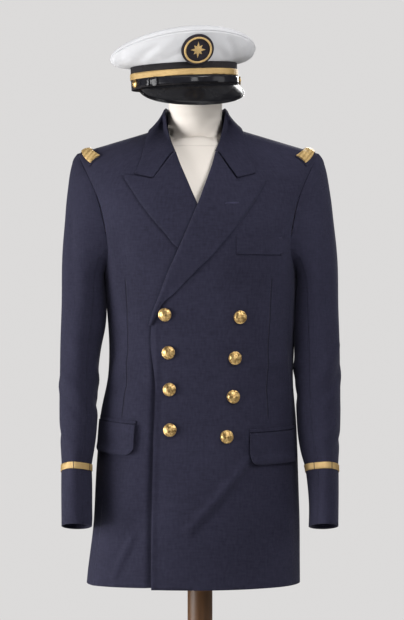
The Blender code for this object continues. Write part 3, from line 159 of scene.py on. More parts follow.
OWN_FOLDS = {
    "coat_front_left": (Fold(-23.2, 1.085, -20.9, 0.612, 0.0055, 0.0024),),
    "coat_front_right": (Fold(-24.6, 1.085, -22.3, 0.612, 0.0065, -0.0050),),
    "flap_left": (Fold(28.0, 0.842, 76.0, 0.848, 0.010, 0.0030),
                  Fold(26.5, 0.890, 26.5, 0.840, 0.016, 0.0026)),
    "flap_right": (Fold(-36.0, 0.856, -78.0, 0.862, 0.010, 0.0030),
                   Fold(-33.5, 0.896, -33.5, 0.858, 0.030, 0.0050)),
}


class Lap(NamedTuple):
    """How far an upright edge runs on at each height, toward a larger turn (1) or a smaller one (-1)."""

    toward: int
    sizes: tuple[tuple[float, float], ...]


SIDE_LAP = ((0.60, 0.0014), (1.30, 0.0014))
BACK_ARMHOLE_LAP = ((0.60, 0.0), (1.08, 0.0), (1.14, 0.0024), (1.36, 0.0024), (1.40, 0.0))
CENTRE_BACK_LAP = ((0.60, 0.0010), (1.10, 0.0011), (1.285, 0.0015), (1.328, 0.0019), (1.367, 0.0025),
                   (1.40, 0.0032), (1.44, 0.0036))


@dataclass(frozen=True)
class Shape:
    """The round form that a cloth is wrapped on, in plan, with its folds.

    Folds are gone at the height flat_at and whole at a distance of fade below it. A fade below 0 turns that round.
    """

    middle: tuple[float, float]
    half_width: float
    half_depth: float
    folds: tuple[Fold, ...]
    unevenness: float
    wrap_radius: float
    flat_at: float
    fade: float


SHAPES = {
    Carrier.BODY: Shape((-0.004, 0.004), 0.185, 0.122, BODY_FOLDS, 0.0004, 0.160, 1.36, 0.08),
    Carrier.SLEEVE_LEFT: Shape((0.2235, 0.0), 0.034, 0.064, LEFT_SLEEVE_FOLDS, 0.0005, 0.050, 1.34, 0.08),
    Carrier.SLEEVE_RIGHT: Shape((-0.2235, 0.0), 0.034, 0.064, RIGHT_SLEEVE_FOLDS, 0.0005, 0.050, 1.34, 0.08),
    Carrier.CAP: Shape((0.0, 0.0), 0.110, 0.112, CAP_FOLDS, 0.0003, 0.105, 0.0425, -0.006),
}
SLEEVE_HEIGHTS = (0.715, 0.755, 0.800, 0.838, 0.880, 0.940, 1.020, 1.100, 1.160, 1.290)
SLEEVE_MIDDLES = (-0.075, -0.066, -0.055, -0.047, -0.037, -0.024, -0.010, -0.002, 0.002, 0.005)
SLEEVES = {"left": Carrier.SLEEVE_LEFT, "right": Carrier.SLEEVE_RIGHT}
CAP_PLACE = Vector((-0.0283, 0.004, 1.5255))
CAP_YAW, CAP_PITCH, CAP_ROLL = math.radians(13.5), math.radians(2.3), math.radians(-2.7)
CAP_FRAME = (Matrix.Translation(CAP_PLACE) @ Matrix.Rotation(CAP_ROLL, 4, "Y")
             @ Matrix.Rotation(CAP_PITCH, 4, "X") @ Matrix.Rotation(CAP_YAW, 4, "Z"))


def in_cap(points: np.ndarray) -> np.ndarray:
    """Return points of the row frame in the cap's own frame."""
    turned = np.array(CAP_FRAME.inverted())
    return points @ turned[:3, :3].T + turned[:3, 3]


def on_carrier(points: np.ndarray, carrier: Carrier) -> tuple[np.ndarray, np.ndarray, np.ndarray]:
    """Return where points lie on the form that carries them.

    Args:
        points: Points of the row frame, one a row.
        carrier: The form that they lie on.

    Returns:
        The turn of each, its height, and the direction out of the form there.
    """
    shape = SHAPES[carrier]
    local = in_cap(points) if carrier is Carrier.CAP else points
    x = local[:, 0] - shape.middle[0]
    y = local[:, 1] - shape.middle[1]
    height = local[:, 2]
    if carrier in SLEEVES.values():
        side = 1.0 if carrier is Carrier.SLEEVE_LEFT else -1.0
        y = y - np.interp(height, SLEEVE_HEIGHTS, SLEEVE_MIDDLES)
        turn = np.arctan2(-y / shape.half_depth, side * x / shape.half_width)
    else:
        turn = np.arctan2(x / shape.half_width, -y / shape.half_depth)
    out = np.stack([x / shape.half_width**2, y / shape.half_depth**2, np.zeros(len(x))], axis=1)
    out /= np.maximum(np.linalg.norm(out, axis=1, keepdims=True), 1e-9)
    if carrier is Carrier.CAP:
        out = out @ np.array(CAP_FRAME)[:3, :3].T
    return turn, height, out


def fold_rise(turn: np.ndarray, height: np.ndarray, shape: Shape, own: Sequence[Fold] = ()) -> np.ndarray:
    """Return how far folds and the cloth's unevenness lift each place.

    A fold is strongest halfway along. Across, it falls off as a bell with a shallow dip at its foot.
    """
    rise = np.zeros(len(turn))
    for fold in (*shape.folds, *own):
        first, last = math.radians(fold.first_turn), math.radians(fold.last_turn)
        across = (turn - first + math.pi) % (2 * math.pi) - math.pi
        run = np.array(((last - first) * shape.wrap_radius, fold.last_height - fold.first_height))
        place = np.stack([across * shape.wrap_radius, height - fold.first_height], axis=1)
        along = np.clip(place @ run / (run @ run), 0.0, 1.0)
        away = np.linalg.norm(place - along[:, None] * run, axis=1) / fold.width
        strength = fold.depth * (1 - FOLD_SWELL + FOLD_SWELL * np.sin(np.pi * (0.15 + 0.7 * along)))
        rise += strength * (1.0 - FOLD_DIP * away**2) * np.exp(-FOLD_BELL * away**2)
    waves = (np.sin(3 * turn + 17 * height) + np.sin(5 * turn - 31 * height + 1.3) + np.sin(43 * height + turn))
    return rise + shape.unevenness * waves / 2


def folded(points: np.ndarray, carrier: Carrier, keep: float = 1.0, own: Sequence[Fold] = ()) -> np.ndarray:
    """Return points moved out by the folds of the form that carries them, and by a piece's own."""
    shape = SHAPES[carrier]
    turn, height, out = on_carrier(points, carrier)
    rise = fold_rise(turn, height, shape, own) * keep * np.clip((shape.flat_at - height) / shape.fade, 0.0, 1.0)
    return points + out * rise[:, None]


def points_of(mesh: bpy.types.Mesh) -> np.ndarray:
    """Return a mesh's points, one a row."""
    points = np.empty(len(mesh.vertices) * 3)
    mesh.vertices.foreach_get("co", points)
    return points.reshape(-1, 3)


def set_points(mesh: bpy.types.Mesh, points: np.ndarray) -> None:
    """Move a mesh's points to new places."""
    mesh.vertices.foreach_set("co", points.ravel())
    mesh.update()


def wrap_map(mesh: bpy.types.Mesh, carrier: Carrier | None) -> None:
    """Lay the weave's map on a mesh, in metres round its carrier, or flat from the front."""
    points = points_of(mesh)
    corners = np.empty(len(mesh.loops), dtype=np.int64)
    mesh.loops.foreach_get("vertex_index", corners)
    totals = np.empty(len(mesh.polygons), dtype=np.int64)
    mesh.polygons.foreach_get("loop_total", totals)
    face = np.repeat(np.arange(len(totals)), totals)
    if carrier is None:
        across, upward = points[corners, 0], points[corners, 2]
    else:
        turn, height, _ = on_carrier(points, carrier)
        start = np.concatenate(([0], np.cumsum(totals)[:-1]))
        first = turn[corners[start]][face]
        near = first + (turn[corners] - first + math.pi) % (2 * math.pi) - math.pi
        across, upward = near * SHAPES[carrier].wrap_radius, height[corners]
    layer = mesh.uv_layers.new(name=WEAVE_MAP)
    layer.data.foreach_set("uv", np.stack([across, upward], axis=1).astype(np.float32).ravel())


def to_mesh(name: str, shape: bmesh.types.BMesh) -> bpy.types.Object:
    """Turn a shape into a named object in the scene."""
    mesh = bpy.data.meshes.new(name)
    shape.to_mesh(mesh)
    shape.free()
    made = bpy.data.objects.new(name, mesh)
    bpy.context.scene.collection.objects.link(made)
    return made


def merged_copy(node: str) -> bmesh.types.BMesh:
    """Return a copy of a CAD node's mesh with its corners merged and its triangles paired."""
    shape = bmesh.new()
    shape.from_mesh(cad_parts[node].data)
    bmesh.ops.remove_doubles(shape, verts=shape.verts[:], dist=MERGE)
    bmesh.ops.join_triangles(shape, faces=shape.faces[:], angle_face_threshold=PAIRING_ANGLE,
                             angle_shape_threshold=PAIRING_SHAPE)
    return shape


def rounded_copy(name: str, node: str, levels: int, sharp: float = 45.0) -> bpy.types.Object:
    """Return a finer copy of a CAD node, smooth through the node's own corners.

    Args:
        name: The new piece's name.
        node: The CAD node.
        levels: How often its faces are halved.
        sharp: Edges that turn by more than this many degrees stay edges.
    """
    shape = merged_copy(node)
    crease = shape.edges.layers.float.get("crease_edge") or shape.edges.layers.float.new("crease_edge")
    for edge in shape.edges:
        if len(edge.link_faces) == 2 and edge.calc_face_angle(0.0) > math.radians(sharp):
            edge[crease] = 1.0
    rough = to_mesh(name + "_rough", shape)
    wanted = points_of(rough.data)
    control = wanted.copy()
    halve = rough.modifiers.new("halve", "SUBSURF")
    halve.levels = halve.render_levels = levels
    for _ in range(ROUNDING_PASSES):
        graph = bpy.context.evaluated_depsgraph_get()
        control += wanted - points_of(rough.evaluated_get(graph).data)[:len(wanted)]
        set_points(rough.data, control)
    graph = bpy.context.evaluated_depsgraph_get()
    mesh = bpy.data.meshes.new_from_object(rough.evaluated_get(graph))
    mesh.name = name
    bpy.data.objects.remove(rough, do_unlink=True)
    made = bpy.data.objects.new(name, mesh)
    bpy.context.scene.collection.objects.link(made)
    mesh.shade_smooth()
    mesh.set_sharp_from_angle(angle=math.radians(sharp))
    return made


def move_points(item: bpy.types.Object, carrier: Carrier, keep: float, own: Sequence[Fold]) -> None:
    """Move a piece's points by the folds of its carrier and by its own."""
    set_points(item.data, folded(points_of(item.data), carrier, keep, own))


def run_on(item: bpy.types.Object, carrier: Carrier, lap: Lap) -> None:
    """Let one upright edge of a panel run on, so that its seam closes over the neighbour's edge."""
    points = points_of(item.data)
    turn, height, out = on_carrier(points, carrier)
    middle = math.atan2(np.sin(turn).mean(), np.cos(turn).mean())
    away = (turn - middle + math.pi) % (2 * math.pi) - math.pi
    share = np.clip(away * lap.toward / np.max(away * lap.toward), 0.0, 1.0)
    heights, sizes = zip(*lap.sizes)
    along = np.stack([-out[:, 1], out[:, 0], np.zeros(len(out))], axis=1) * lap.toward
    set_points(item.data, points + along * (np.interp(height, heights, sizes) * share**3)[:, None])


def shift_at(place: Vector, carrier: Carrier) -> Vector:
    """Return how far the folds move one place."""
    point = np.array([place[:]])
    return Vector((folded(point, carrier) - point)[0])


@dataclass
class Board:
    """A material's node tree, with short calls to add and join its nodes."""

    name: str

    def __post_init__(self) -> None:
        """Make the material with its shader."""
        self.material = bpy.data.materials.new(self.name)
        self.material.use_nodes = True
        self.tree = self.material.node_tree
        self.tree.nodes.clear()
        self.shader = self.tree.nodes.new("ShaderNodeBsdfPrincipled")
        output = self.tree.nodes.new("ShaderNodeOutputMaterial")
        self.tree.links.new(self.shader.outputs["BSDF"], output.inputs["Surface"])

    def node(self, kind: str, **settings: object) -> bpy.types.Node:
        """Add a node and set its own settings."""
        made = self.tree.nodes.new("ShaderNode" + kind)
        for key, value in settings.items():
            setattr(made, key, value)
        return made

    def feed(self, socket: bpy.types.NodeSocket, value: object) -> None:
        """Join or set a socket."""
        if isinstance(value, bpy.types.NodeSocket):
            self.tree.links.new(value, socket)
        else:
            socket.default_value = value

    def finish(self, values: dict[str, object]) -> bpy.types.Material:
        """Join or set the shader's named inputs, and return the material."""
        for name, value in values.items():
            self.feed(self.shader.inputs[name], value)
        return self.material

    def maths(self, operation: str, *values: object, clamp: bool = False) -> bpy.types.NodeSocket:
        """Return the outcome of a math node."""
        made = self.node("Math", operation=operation, use_clamp=clamp)
        for socket, value in zip(made.inputs, values):
            self.feed(socket, value)
        return made.outputs[0]

    def place(self, flat: bool) -> bpy.types.NodeSocket:
        """Return the weave map's place, or the object's."""
        if flat:
            return self.node("UVMap", uv_map=WEAVE_MAP).outputs["UV"]
        return self.node("TexCoord").outputs["Object"]

    def parts(self, flat: bool) -> Sequence[bpy.types.NodeSocket]:
        """Return the three parts of the weave map's place, or of the object's."""
        split = self.node("SeparateXYZ")
        self.feed(split.inputs[0], self.place(flat))
        return split.outputs

    def stripe(self, position: object, middle: object, half_width: float) -> bpy.types.NodeSocket:
        """Return 1 at a middle, fading to 0 at a half width from it."""
        away = self.maths("ABSOLUTE", self.maths("SUBTRACT", position, middle))
        return self.maths("SUBTRACT", 1.0, self.maths("DIVIDE", away, half_width), clamp=True)

    def noise(self, scale: float, detail: float = 3.0, flat: bool = False,
              stretch: Sequence[float] = (1, 1, 1)) -> bpy.types.NodeSocket:
        """Return a noise of so many waves a metre."""
        laid = self.node("Mapping")
        self.feed(laid.inputs["Vector"], self.place(flat))
        laid.inputs["Scale"].default_value = tuple(stretch)
        made = self.node("TexNoise")
        self.feed(made.inputs["Vector"], laid.outputs["Vector"])
        self.feed(made.inputs["Scale"], scale)
        self.feed(made.inputs["Detail"], detail)
        return made.outputs["Fac"]

    def ribs(self, period: float, angle: float = 0.0, shape: str = "SIN") -> bpy.types.NodeSocket:
        """Return ribs of a period in metres across the weave map, turned by an angle in degrees."""
        laid = self.node("Mapping")
        self.feed(laid.inputs["Vector"], self.place(True))
        laid.inputs["Rotation"].default_value = (0, 0, math.radians(angle))
        made = self.node("TexWave", wave_type="BANDS", bands_direction="X", wave_profile=shape)
        self.feed(made.inputs["Vector"], laid.outputs["Vector"])
        self.feed(made.inputs["Scale"], WAVE_SCALE / period)
        return made.outputs["Fac"]

    def mix(self, share: object, first: object, last: object) -> bpy.types.NodeSocket:
        """Return a colour between two, from the node's own sockets for colours."""
        made = self.node("Mix", data_type="RGBA")
        self.feed(made.inputs[0], share)
        self.feed(made.inputs[6], first)
        self.feed(made.inputs[7], last)
        return made.outputs[2]

    def between(self, share: object, dark: "Colour", light: "Colour") -> bpy.types.NodeSocket:
        """Return a colour between a dark and a light shade."""
        return self.mix(share, opaque(dark), opaque(light))

    def bump(self, height: bpy.types.NodeSocket, depth: float, under: bpy.types.NodeSocket | None = None,
             strength: float = 1.0) -> bpy.types.NodeSocket:
        """Return the normal that a height gives, over another normal."""
        made = self.node("Bump")
        self.feed(made.inputs["Strength"], strength)
        self.feed(made.inputs["Distance"], depth)
        self.feed(made.inputs["Height"], height)
        if under is not None:
            self.feed(made.inputs["Normal"], under)
        return made.outputs["Normal"]

    def line(self, first: Sequence[float], last: Sequence[float], half_width: float) -> bpy.types.NodeSocket:
        """Return 1 on a line between two places of the weave map, the first above the last."""
        across, upward, _ = self.parts(True)
        slope = (last[0] - first[0]) / (last[1] - first[1])
        below = self.maths("SUBTRACT", upward, first[1])
        near = self.stripe(across, self.maths("MULTIPLY_ADD", below, slope, first[0]), half_width)
        top = self.maths("MULTIPLY", self.maths("SUBTRACT", first[1], upward), LINE_END, clamp=True)
        foot = self.maths("MULTIPLY", self.maths("SUBTRACT", upward, last[1]), LINE_END, clamp=True)
        return self.maths("MULTIPLY", near, self.maths("MULTIPLY", top, foot))


Colour = tuple[float, float, float]


def opaque(colour: Colour) -> tuple[float, float, float, float]:
    """Return a colour with full alpha."""
    return (*colour, 1.0)


def shaded(colour: Colour, share: float) -> tuple[float, float, float, float]:
    """Return a share of a colour, with full alpha."""
    return opaque(tuple(value * share for value in colour))


@dataclass(frozen=True)
class WoolTwill:
    """Worsted wool: a fine diagonal twill with a soft nap and slow changes of shade."""

    name: str
    light: Colour
    dark: Colour
    period: float = 0.0007
    roughness: float = 0.86
    sheen: float = 0.06
    nap: Colour = (0.62, 0.62, 0.86)
    shade_waves: float = 9.0
    thread_waves: float = 300.0
    thread_depth: float = 0.00016
    crumple_waves: float = 38.0
    crumple_depth: float = 0.0012
    dart_half_width: float = 0.0016
    darts: tuple[tuple[tuple[float, float], tuple[float, float]], ...] = ()

    def make(self) -> bpy.types.Material:
        """Return the cloth's material."""
        board = Board(self.name)
        twill = board.ribs(self.period, 63)
        warp = board.ribs(self.period * 1.35, 0)
        thread = board.maths("MULTIPLY_ADD", warp, 0.35, board.maths("MULTIPLY", twill, 0.65))
        slow = board.noise(self.shade_waves, 4.0)
        slub = board.noise(self.thread_waves, 2.0, flat=True, stretch=(1.0, 0.25, 1.0))
        pick = board.noise(self.thread_waves, 2.0, flat=True, stretch=(0.25, 1.0, 1.0))
        threads = board.maths("MULTIPLY_ADD", slub, 0.85, board.maths("MULTIPLY", pick, 0.75))
        shade = board.maths("MULTIPLY_ADD", slow, 0.7, board.maths("SUBTRACT", threads, 0.68))
        shade = board.maths("MULTIPLY_ADD", thread, 0.22, shade, clamp=True)
        colour = board.between(shade, self.dark, self.light)
        height = board.maths("MULTIPLY_ADD", slub, 0.6, board.maths("MULTIPLY_ADD", pick, 0.5, thread))
        normal = board.bump(height, self.thread_depth, strength=0.7)
        normal = board.bump(board.noise(self.crumple_waves), self.crumple_depth, normal, strength=0.35)
        # Each dart is a real seam line, sunk by the bump, whose colour is also darkened with painted shade as in
        # the seam's groove.
        for first, last in self.darts:
            seam = board.line(first, last, self.dart_half_width)
            colour = board.mix(board.maths("MULTIPLY", seam, 0.72), colour, shaded(self.dark, 0.35))
            normal = board.bump(board.maths("SUBTRACT", 1.0, seam), 0.0012, normal)
        return board.finish({"Base Color": colour, "Normal": normal, "Roughness": self.roughness,
                             "Sheen Weight": self.sheen, "Sheen Roughness": 0.45,
                             "Sheen Tint": opaque(self.nap), "Specular IOR Level": 0.16})


@dataclass(frozen=True)
class PlainCotton:
    """Plain-woven or knitted cotton: fine crossed threads, with soft soiling."""

    name: str
    light: Colour
    dark: Colour
    period: float = 0.0006
    soil_waves: float = 7.0
    depth: float = 0.00010
    crumple_waves: float = 26.0
    crumple_depth: float = 0.0010
    neck_seam: float = 0.0
    seam_half_width: float = 0.0009

    def make(self) -> bpy.types.Material:
        """Return the cotton's material."""
        board = Board(self.name)
        weft, warp = board.ribs(self.period, 90), board.ribs(self.period, 0)
        thread = board.maths("MULTIPLY_ADD", warp, 0.5, board.maths("MULTIPLY", weft, 0.5))
        soil = board.noise(self.soil_waves, 4.0)
        shade = board.maths("MULTIPLY_ADD", thread, 0.18, board.maths("MULTIPLY", soil, 1.05), clamp=True)
        colour = board.between(shade, self.dark, self.light)
        normal = board.bump(thread, self.depth, strength=0.6)
        normal = board.bump(board.noise(self.crumple_waves), self.crumple_depth, normal, strength=0.3)
        if self.neck_seam:
            seam = board.stripe(board.parts(False)[2], self.neck_seam, self.seam_half_width)
            colour = board.mix(board.maths("MULTIPLY", seam, 0.35), colour, shaded(self.dark, 0.6))
            normal = board.bump(board.maths("SUBTRACT", 1.0, seam), 0.0006, normal)
        return board.finish({"Base Color": colour, "Normal": normal, "Roughness": 0.82, "Sheen Weight": 0.06,
                             "Specular IOR Level": 0.3})


@dataclass(frozen=True)
class MetalLace:
    """Gilt wire lace: close ribs of metal thread with darker gaps, and thread breaks across it."""

    name: str
    period: float = 0.0012
    angle: float = 0.0
    light: Colour = (0.66, 0.46, 0.20)
    dark: Colour = (0.27, 0.155, 0.045)
    contrast: float = 0.55
    tarnish_waves: float = 60.0
    breaks: tuple[float, ...] = ()
    break_half_width: float = 0.0017
    break_colour: Colour = (0.018, 0.015, 0.012)
    depth: float = 0.0003

    def make(self) -> bpy.types.Material:
        """Return the lace's material."""
        board = Board(self.name)
        ribs = board.ribs(self.period, self.angle)
        cross = board.ribs(self.period * 0.6, self.angle + 62)
        tarnish = board.noise(self.tarnish_waves)
        shade = board.maths("MULTIPLY_ADD", ribs, self.contrast, board.maths("MULTIPLY_ADD", tarnish, 0.5, 0.12))
        shade = board.maths("MULTIPLY_ADD", cross, 0.14, shade, clamp=True)
        colour = board.between(shade, self.dark, self.light)
        across = board.parts(True)[0]
        for place in self.breaks:
            gap = board.stripe(across, place, self.break_half_width)
            colour = board.mix(board.maths("MULTIPLY", gap, 1.6, clamp=True), colour, opaque(self.break_colour))
        height = board.maths("MULTIPLY_ADD", cross, 0.3, ribs)
        return board.finish({"Base Color": colour, "Normal": board.bump(height, self.depth, strength=0.8),
                             "Metallic": 0.35, "Roughness": board.maths("MULTIPLY_ADD", tarnish, 0.25, 0.32)})


@dataclass(frozen=True)
class GiltBrass:
    """Struck and gilt brass, bright where it is rubbed and dull in its hollows."""

    name: str
    light: Colour = (0.70, 0.49, 0.21)
    dark: Colour = (0.20, 0.11, 0.035)
    wear_waves: float = 260.0
    struck_waves: float = 330.0
    struck_depth: float = 0.0011
    grain_waves: float = 700.0
    grain_depth: float = 0.00012

    def make(self) -> bpy.types.Material:
        """Return the metal's material."""
        board = Board(self.name)
        wear = board.noise(self.wear_waves, 4.0)
        share = board.maths("MULTIPLY_ADD", board.maths("SUBTRACT", wear, 0.38), 3.0, 0.2, clamp=True)
        struck = board.bump(board.noise(self.struck_waves, 2.0), self.struck_depth, strength=0.55)
        grain = board.noise(self.grain_waves, 2.0)
        return board.finish({"Base Color": board.between(share, self.dark, self.light), "Metallic": 0.9,
                             "Roughness": board.maths("MULTIPLY_ADD", wear, 0.25, 0.24),
                             "Normal": board.bump(grain, self.grain_depth, struck, 0.6)})


@dataclass(frozen=True)
class PatentLeather:
    """Black patent leather: a glossy coat over a faint grain, with handling marks."""

    name: str
    colour: Colour = (0.008, 0.008, 0.010)
    waviness: float = 0.5
    gloss: float = 0.6
    mark_waves: float = 90.0
    grain_waves: float = 900.0
    grain_depth: float = 0.00005
    dent_waves: float = 30.0
    dent_depth: float = 0.0010

    def make(self) -> bpy.types.Material:
        """Return the leather's material."""
        board = Board(self.name)
        marks = board.noise(self.mark_waves, 4.0)
        colour = board.mix(marks, opaque(self.colour), shaded(self.colour, 2.4))
        grain = board.bump(board.noise(self.grain_waves, 2.0), self.grain_depth, strength=0.4)
        dents = board.noise(self.dent_waves, 2.0)
        return board.finish({"Base Color": colour, "Roughness": board.maths("MULTIPLY_ADD", marks, 0.22, 0.10),
                             "Coat Weight": self.gloss, "Coat Roughness": 0.08,
                             "Specular IOR Level": 0.5 * self.gloss,
                             "Normal": board.bump(dents, self.dent_depth, grain, self.waviness)})


@dataclass(frozen=True)
class StainedWood:
    """Brown stained wood with its grain along one direction, waxed."""

    name: str
    light: Colour = (0.135, 0.056, 0.013)
    dark: Colour = (0.048, 0.017, 0.0035)
    stretch: tuple[float, float, float] = (1.0, 1.0, 0.05)
    grain_waves: float = 170.0
    ring_waves: float = 34.0
    grain_depth: float = 0.0003

    def make(self) -> bpy.types.Material:
        """Return the wood's material."""
        board = Board(self.name)
        grain = board.noise(self.grain_waves, 5.0, stretch=self.stretch)
        rings = board.noise(self.ring_waves, stretch=self.stretch)
        share = board.maths("MULTIPLY_ADD", rings, 0.9, board.maths("MULTIPLY_ADD", grain, 0.8, -0.35), clamp=True)
        return board.finish({"Base Color": board.between(share, self.dark, self.light),
                             "Roughness": board.maths("MULTIPLY_ADD", grain, 0.25, 0.32),
                             "Normal": board.bump(grain, self.grain_depth, strength=0.6), "Coat Weight": 0.06})


def dress(item: bpy.types.Object, material: bpy.types.Material, replaced: Sequence[str] = ()) -> None:
    """Give a piece its finish, its place in the tree and the nodes that it stands for."""
    item.data.materials.clear()
    item.data.materials.append(material)
    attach(item, "root")
    if replaced:
        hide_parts(*replaced)
    LOG.info("%s: %d faces", item.name, len(item.data.polygons))


class Cut(NamedTuple):
    """What a sheet was cut to: width and length in metres, and its area in square metres."""

    width: float
    length: float
    area: float


@dataclass
class ClothPiece:
    """One sheet of cloth on a CAD solid's form: rounded, folded, mapped and dressed."""

    node: str
    cut: Cut
    carrier: Carrier
    held: str
    rests_on: str
    levels: int = 2
    keep: float = 1.0
    sharp: float = 45.0
    laps: tuple[Lap, ...] = ()

    def build(self, material: bpy.types.Material, slot: str) -> bpy.types.Object:
        """Build the piece in place of its node.

        Args:
            material: Its finish.
            slot: Not used.

        Returns:
            The piece.
        """
        item = rounded_copy(self.node + "_cloth", self.node, self.levels, self.sharp)
        for lap in self.laps:
            run_on(item, self.carrier, lap)
        move_points(item, self.carrier, self.keep, OWN_FOLDS.get(self.node, ()))
        wrap_map(item.data, self.carrier)
        dress(item, material, [self.node])
        return item


def spun(outline: Sequence[tuple[float, float]], steps: int) -> bmesh.types.BMesh:
    """Return an outline of (radius, height) pairs spun into a closed shape about Z."""
    shape = bmesh.new()
    verts = [shape.verts.new((radius, 0.0, height)) for radius, height in outline]
    edges = [shape.edges.new(pair) for pair in zip(verts, verts[1:])]
    bmesh.ops.spin(shape, geom=verts + edges, cent=(0, 0, 0), axis=(0, 0, 1), angle=2 * math.pi, steps=steps,
                   use_merge=True)
    bmesh.ops.remove_doubles(shape, verts=shape.verts[:], dist=MERGE)
    bmesh.ops.recalc_face_normals(shape, faces=shape.faces[:])
    return shape


def star_relief(shape: bmesh.types.BMesh, reach: float, foot: float, rise: float, points: int = 8) -> None:
    """Add a faceted star to a shape, its foot at a height on the Z axis, every second point shorter."""
    made = bmesh.ops.create_circle(shape, cap_ends=True, cap_tris=True, segments=points * 2, radius=reach)
    for vert in made["verts"]:
        angle = math.atan2(vert.co.y, vert.co.x)
        step = round(angle / math.pi * points)
        if vert.co.length > MERGE:
            vert.co *= STAR_HOLLOW if step % 2 else (1.0 if step % 4 == 0 else STAR_SHORT)
            vert.co.z = foot
        else:
            vert.co.z = foot + rise


@dataclass
class StruckButton:
    """A domed gilt button: rope rim, dished field and a small star, on a shank.

    Its outline is drawn for outline_height, and the rope's twist is a share of the size and turns with the height.
    """

    radius: float = 0.0120
    height: float = 0.0064
    strands: int = 26
    outline_height: float = 0.0064
    rope_inside: float = 0.88
    rope_foot: float = 0.0012
    rope_twist: float = 0.016
    rope_turn: float = 900.0

    def build(self, name: str, frame_at: Matrix, material: bpy.types.Material, node: str) -> bpy.types.Object:
        """Build the button at a frame whose Z points out of the cloth."""
        r, h = self.radius, self.height
        outline = [(0.0, -SHANK), (r * 0.25, -SHANK), (r * 0.25, 0.0), (r * 0.93, 0.0), (r * 0.99, 0.0008),
                   (r, 0.0016), (r * 0.97, 0.0026), (r * 0.90, 0.0030), (r * 0.86, 0.0027), (r * 0.82, 0.0031),
                   (r * 0.72, 0.0041), (r * 0.58, 0.0050), (r * 0.40, 0.0057), (r * 0.20, 0.0061), (0.0, 0.0062)]
        outline = [(radius, place * h / self.outline_height) for radius, place in outline]
        shape = spun(outline, self.strands * 2)
        for vert in shape.verts:
            away = math.hypot(vert.co.x, vert.co.y)
            if away > r * self.rope_inside and vert.co.z > self.rope_foot:
                twist = math.sin(self.strands * math.atan2(vert.co.y, vert.co.x) + self.rope_turn * vert.co.z)
                vert.co *= 1.0 + self.rope_twist * twist
        star_relief(shape, r * 0.62, h * 0.80, h * 0.26)
        bmesh.ops.transform(shape, matrix=frame_at, verts=shape.verts[:])
        item = to_mesh(name, shape)
        item.data.shade_smooth()
        item.data.set_sharp_from_angle(angle=BUTTON_SHARP)
        dress(item, material, [node])
        return item


def node_frame(node: str, out: Vector) -> Matrix:
    """Return the frame of a button's node: its seat, with Z along a direction."""
    low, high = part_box(node)
    middle = (low + high) / 2
    depth = min((Vector(vert.co) - middle).dot(out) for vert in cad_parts[node].data.vertices)
    seat = middle + out * (depth + SHANK)
    return Matrix.Translation(seat) @ out.to_track_quat("Z", "Y").to_matrix().to_4x4()


def button_axis(node: str) -> Vector:
    """Return the direction of a button's node: its thinnest one, pointing away from the coat."""
    points = np.array([v.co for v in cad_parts[node].data.vertices])
    _, _, axes = np.linalg.svd(points - points.mean(axis=0))
    axis = Vector(axes[2]).normalized()
    return axis if axis.y < 0 or (abs(axis.y) < 0.4 and axis.x * (points[:, 0].mean() + 0.028) > 0) else -axis


NAVY_LIGHT: Colour = (0.0245, 0.0240, 0.0460)
NAVY_DARK: Colour = (0.0095, 0.0090, 0.0200)


